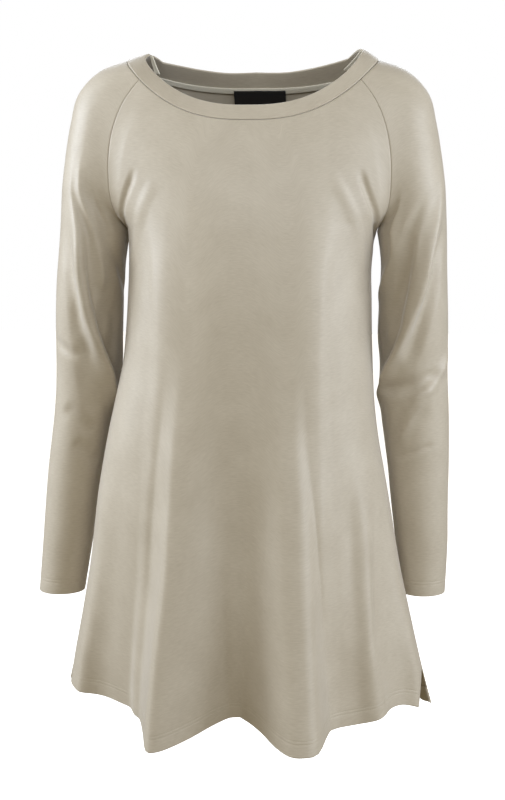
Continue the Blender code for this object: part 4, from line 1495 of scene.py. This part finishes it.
def make_jersey():
    """Fine smooth knit: narrow ribs of stitches, a soft mottle and a faint bloom at grazing angles."""
    material, tree, shader = new_material("jersey_knit", **JERSEY_FINISH)
    place = tree.nodes.new("ShaderNodeAttribute")
    place.attribute_name = "cloth"
    place = place.outputs["Vector"]
    split = tree.nodes.new("ShaderNodeSeparateXYZ")
    tree.links.new(place, split.inputs[0])
    stretch = add(tree, "ShaderNodeMapping", Scale=STREAK_SCALE)
    tree.links.new(place, stretch.inputs["Vector"])
    streaks = noise(tree, stretch.outputs[0], Scale=1.0, Detail=2.0, Roughness=0.6)
    mottle = noise(tree, place, Scale=24.0, Detail=3.0, Roughness=0.55)
    colour(tree, shader, mix(tree, streaks, 0.6, mottle, 0.4), JERSEY_DARK, JERSEY_LIGHT, 0.3, 0.7)
    ribs, courses = wave(tree, split.outputs["X"], RIB_PITCH), wave(tree, split.outputs["Y"], COURSE_PITCH)
    knit = mix(tree, ribs, 1.0, courses, 0.5)
    roughen(tree, shader, mix(tree, knit, KNIT_SHARE, streaks, 1.0), KNIT_STRENGTH, KNIT_DEPTH)
    return material


def make_plain(name, shade, roughness, sheen, grain, depth):
    """A colour that varies softly, with a fine grain."""
    material, tree, shader = new_material(name, Roughness=roughness, Sheen_Weight=sheen)
    grains = noise(tree, tree.nodes.new("ShaderNodeTexCoord").outputs["Object"], Scale=grain, Detail=2.0)
    dark, light = [[min(part * share, 1) for part in shade] for share in PLAIN_SHARES]
    colour(tree, shader, grains, dark, light)
    roughen(tree, shader, grains, PLAIN_STRENGTH, depth)
    return material


def make_world():
    """White to the camera, with a weak warm fill on the cloth."""
    scene = bpy.context.scene
    scene.view_settings.view_transform = "Standard"
    scene.world = bpy.data.worlds.new("studio")
    scene.world.use_nodes = True
    tree = scene.world.node_tree
    seen = fill(tree.nodes["Background"], Color=(1, 1, 1, 1), Strength=1.0)
    lit = add(tree, "ShaderNodeBackground", Color=(*FILL_COLOUR, 1), Strength=FILL_STRENGTH)
    path = tree.nodes.new("ShaderNodeLightPath")
    chosen = tree.nodes.new("ShaderNodeMixShader")
    sources = (path.outputs["Is Camera Ray"], lit.outputs[0], seen.outputs[0])
    for source, socket in zip(sources, chosen.inputs):
        tree.links.new(source, socket)
    tree.links.new(chosen.outputs[0], tree.nodes["World Output"].inputs["Surface"])


def put_up(name, data, place, aim):
    """A light or the camera at a place, looking at another."""
    thing = bpy.data.objects.new(name, data)
    bpy.context.scene.collection.objects.link(thing)
    thing.location = place
    thing.rotation_euler = (Vector(aim) - thing.location).to_track_quat("-Z", "Y").to_euler()
    return thing


def make_lights():
    """Large soft lights: two at each side of the garment, one in front and one behind."""
    for light in LIGHTS:
        data = bpy.data.lights.new(light.name, "AREA")
        data.shape = "RECTANGLE"
        data.size, data.size_y = light.width, light.height
        data.energy = light.power
        data.color = light.colour
        put_up(light.name, data, light.place, LIGHT_AIM)


def make_floor():
    """A pale floor, which lights nothing itself."""
    mesh = bpy.data.meshes.new("floor")
    corners = [(x * FLOOR_REACH, y * FLOOR_REACH, FLOOR) for x, y in ((-1, -1), (1, -1), (1, 1), (-1, 1))]
    mesh.from_pydata(corners, [], [(0, 1, 2, 3)])
    floor = bpy.data.objects.new("floor", mesh)
    bpy.context.scene.collection.objects.link(floor)
    white = (1, 1, 1, 1)
    glow = {"Roughness": 1.0, "Emission_Color": white, "Emission_Strength": 1.0}
    paint, _, _ = new_material("floor_paint", Base_Color=(0.9, 0.9, 0.9, 1), **glow)
    mesh.materials.append(paint)
    floor.visible_diffuse = False
    floor.visible_glossy = False
    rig.stage(floor)


def make_camera():
    data = bpy.data.cameras.new("camera")
    data.lens = CAMERA_LENS
    bpy.context.scene.camera = put_up("camera", data, CAMERA_PLACE, CAMERA_AIM)


def main():
    make_camera()
    make_world()
    make_lights()
    make_floor()
    jersey = make_jersey()
    thread, overlock, satin = [make_plain(*row) for row in PLAIN]
    made = build_cloths()
    tape = make_tape(made, overlock)
    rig.replaces(tape, "neck_tape")
    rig.slot(tape, "tape")
    for name, cloth in made.items():
        outer, inner = cloth.dress()
        facing = cloth.facing
        piece = shell(f"{name}_cloth", outer, inner, facing, cloth.flat(), jersey, 1)
        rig.replaces(piece, name)
        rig.slot(piece, "jersey")
        lines = [row_line(cloth, outer, line) for line in STITCH_LINES]
        sewing = stitches(f"{name}_hem_stitches", lines, thread)
        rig.slot(sewing, "jersey")
        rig.sheet(piece, with_pieces=[sewing, tape] if name == "back" else [sewing], **SHEETS[name])
    bands, flaps = make_band(made, jersey, overlock)
    for flap in flaps:
        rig.slot(flap, "jersey")
    for band, name in zip(bands, ("neckband_front", "neckband_back")):
        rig.replaces(band, name)
        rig.slot(band, "jersey")
        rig.sheet(band, with_pieces=flaps if name == "neckband_front" else [], **SHEETS[name])
    label = make_label(made, satin)
    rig.replaces(label, "label")
    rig.slot(label, "woven_label")
    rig.sheet(label, **SHEETS["label"])


main()
low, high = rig.bounds()
with open("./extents.json", "w") as sizes:
    json.dump({"cad": [list(CAD_LOW), list(CAD_HIGH)], "visual": [list(low), list(high)]}, sizes)
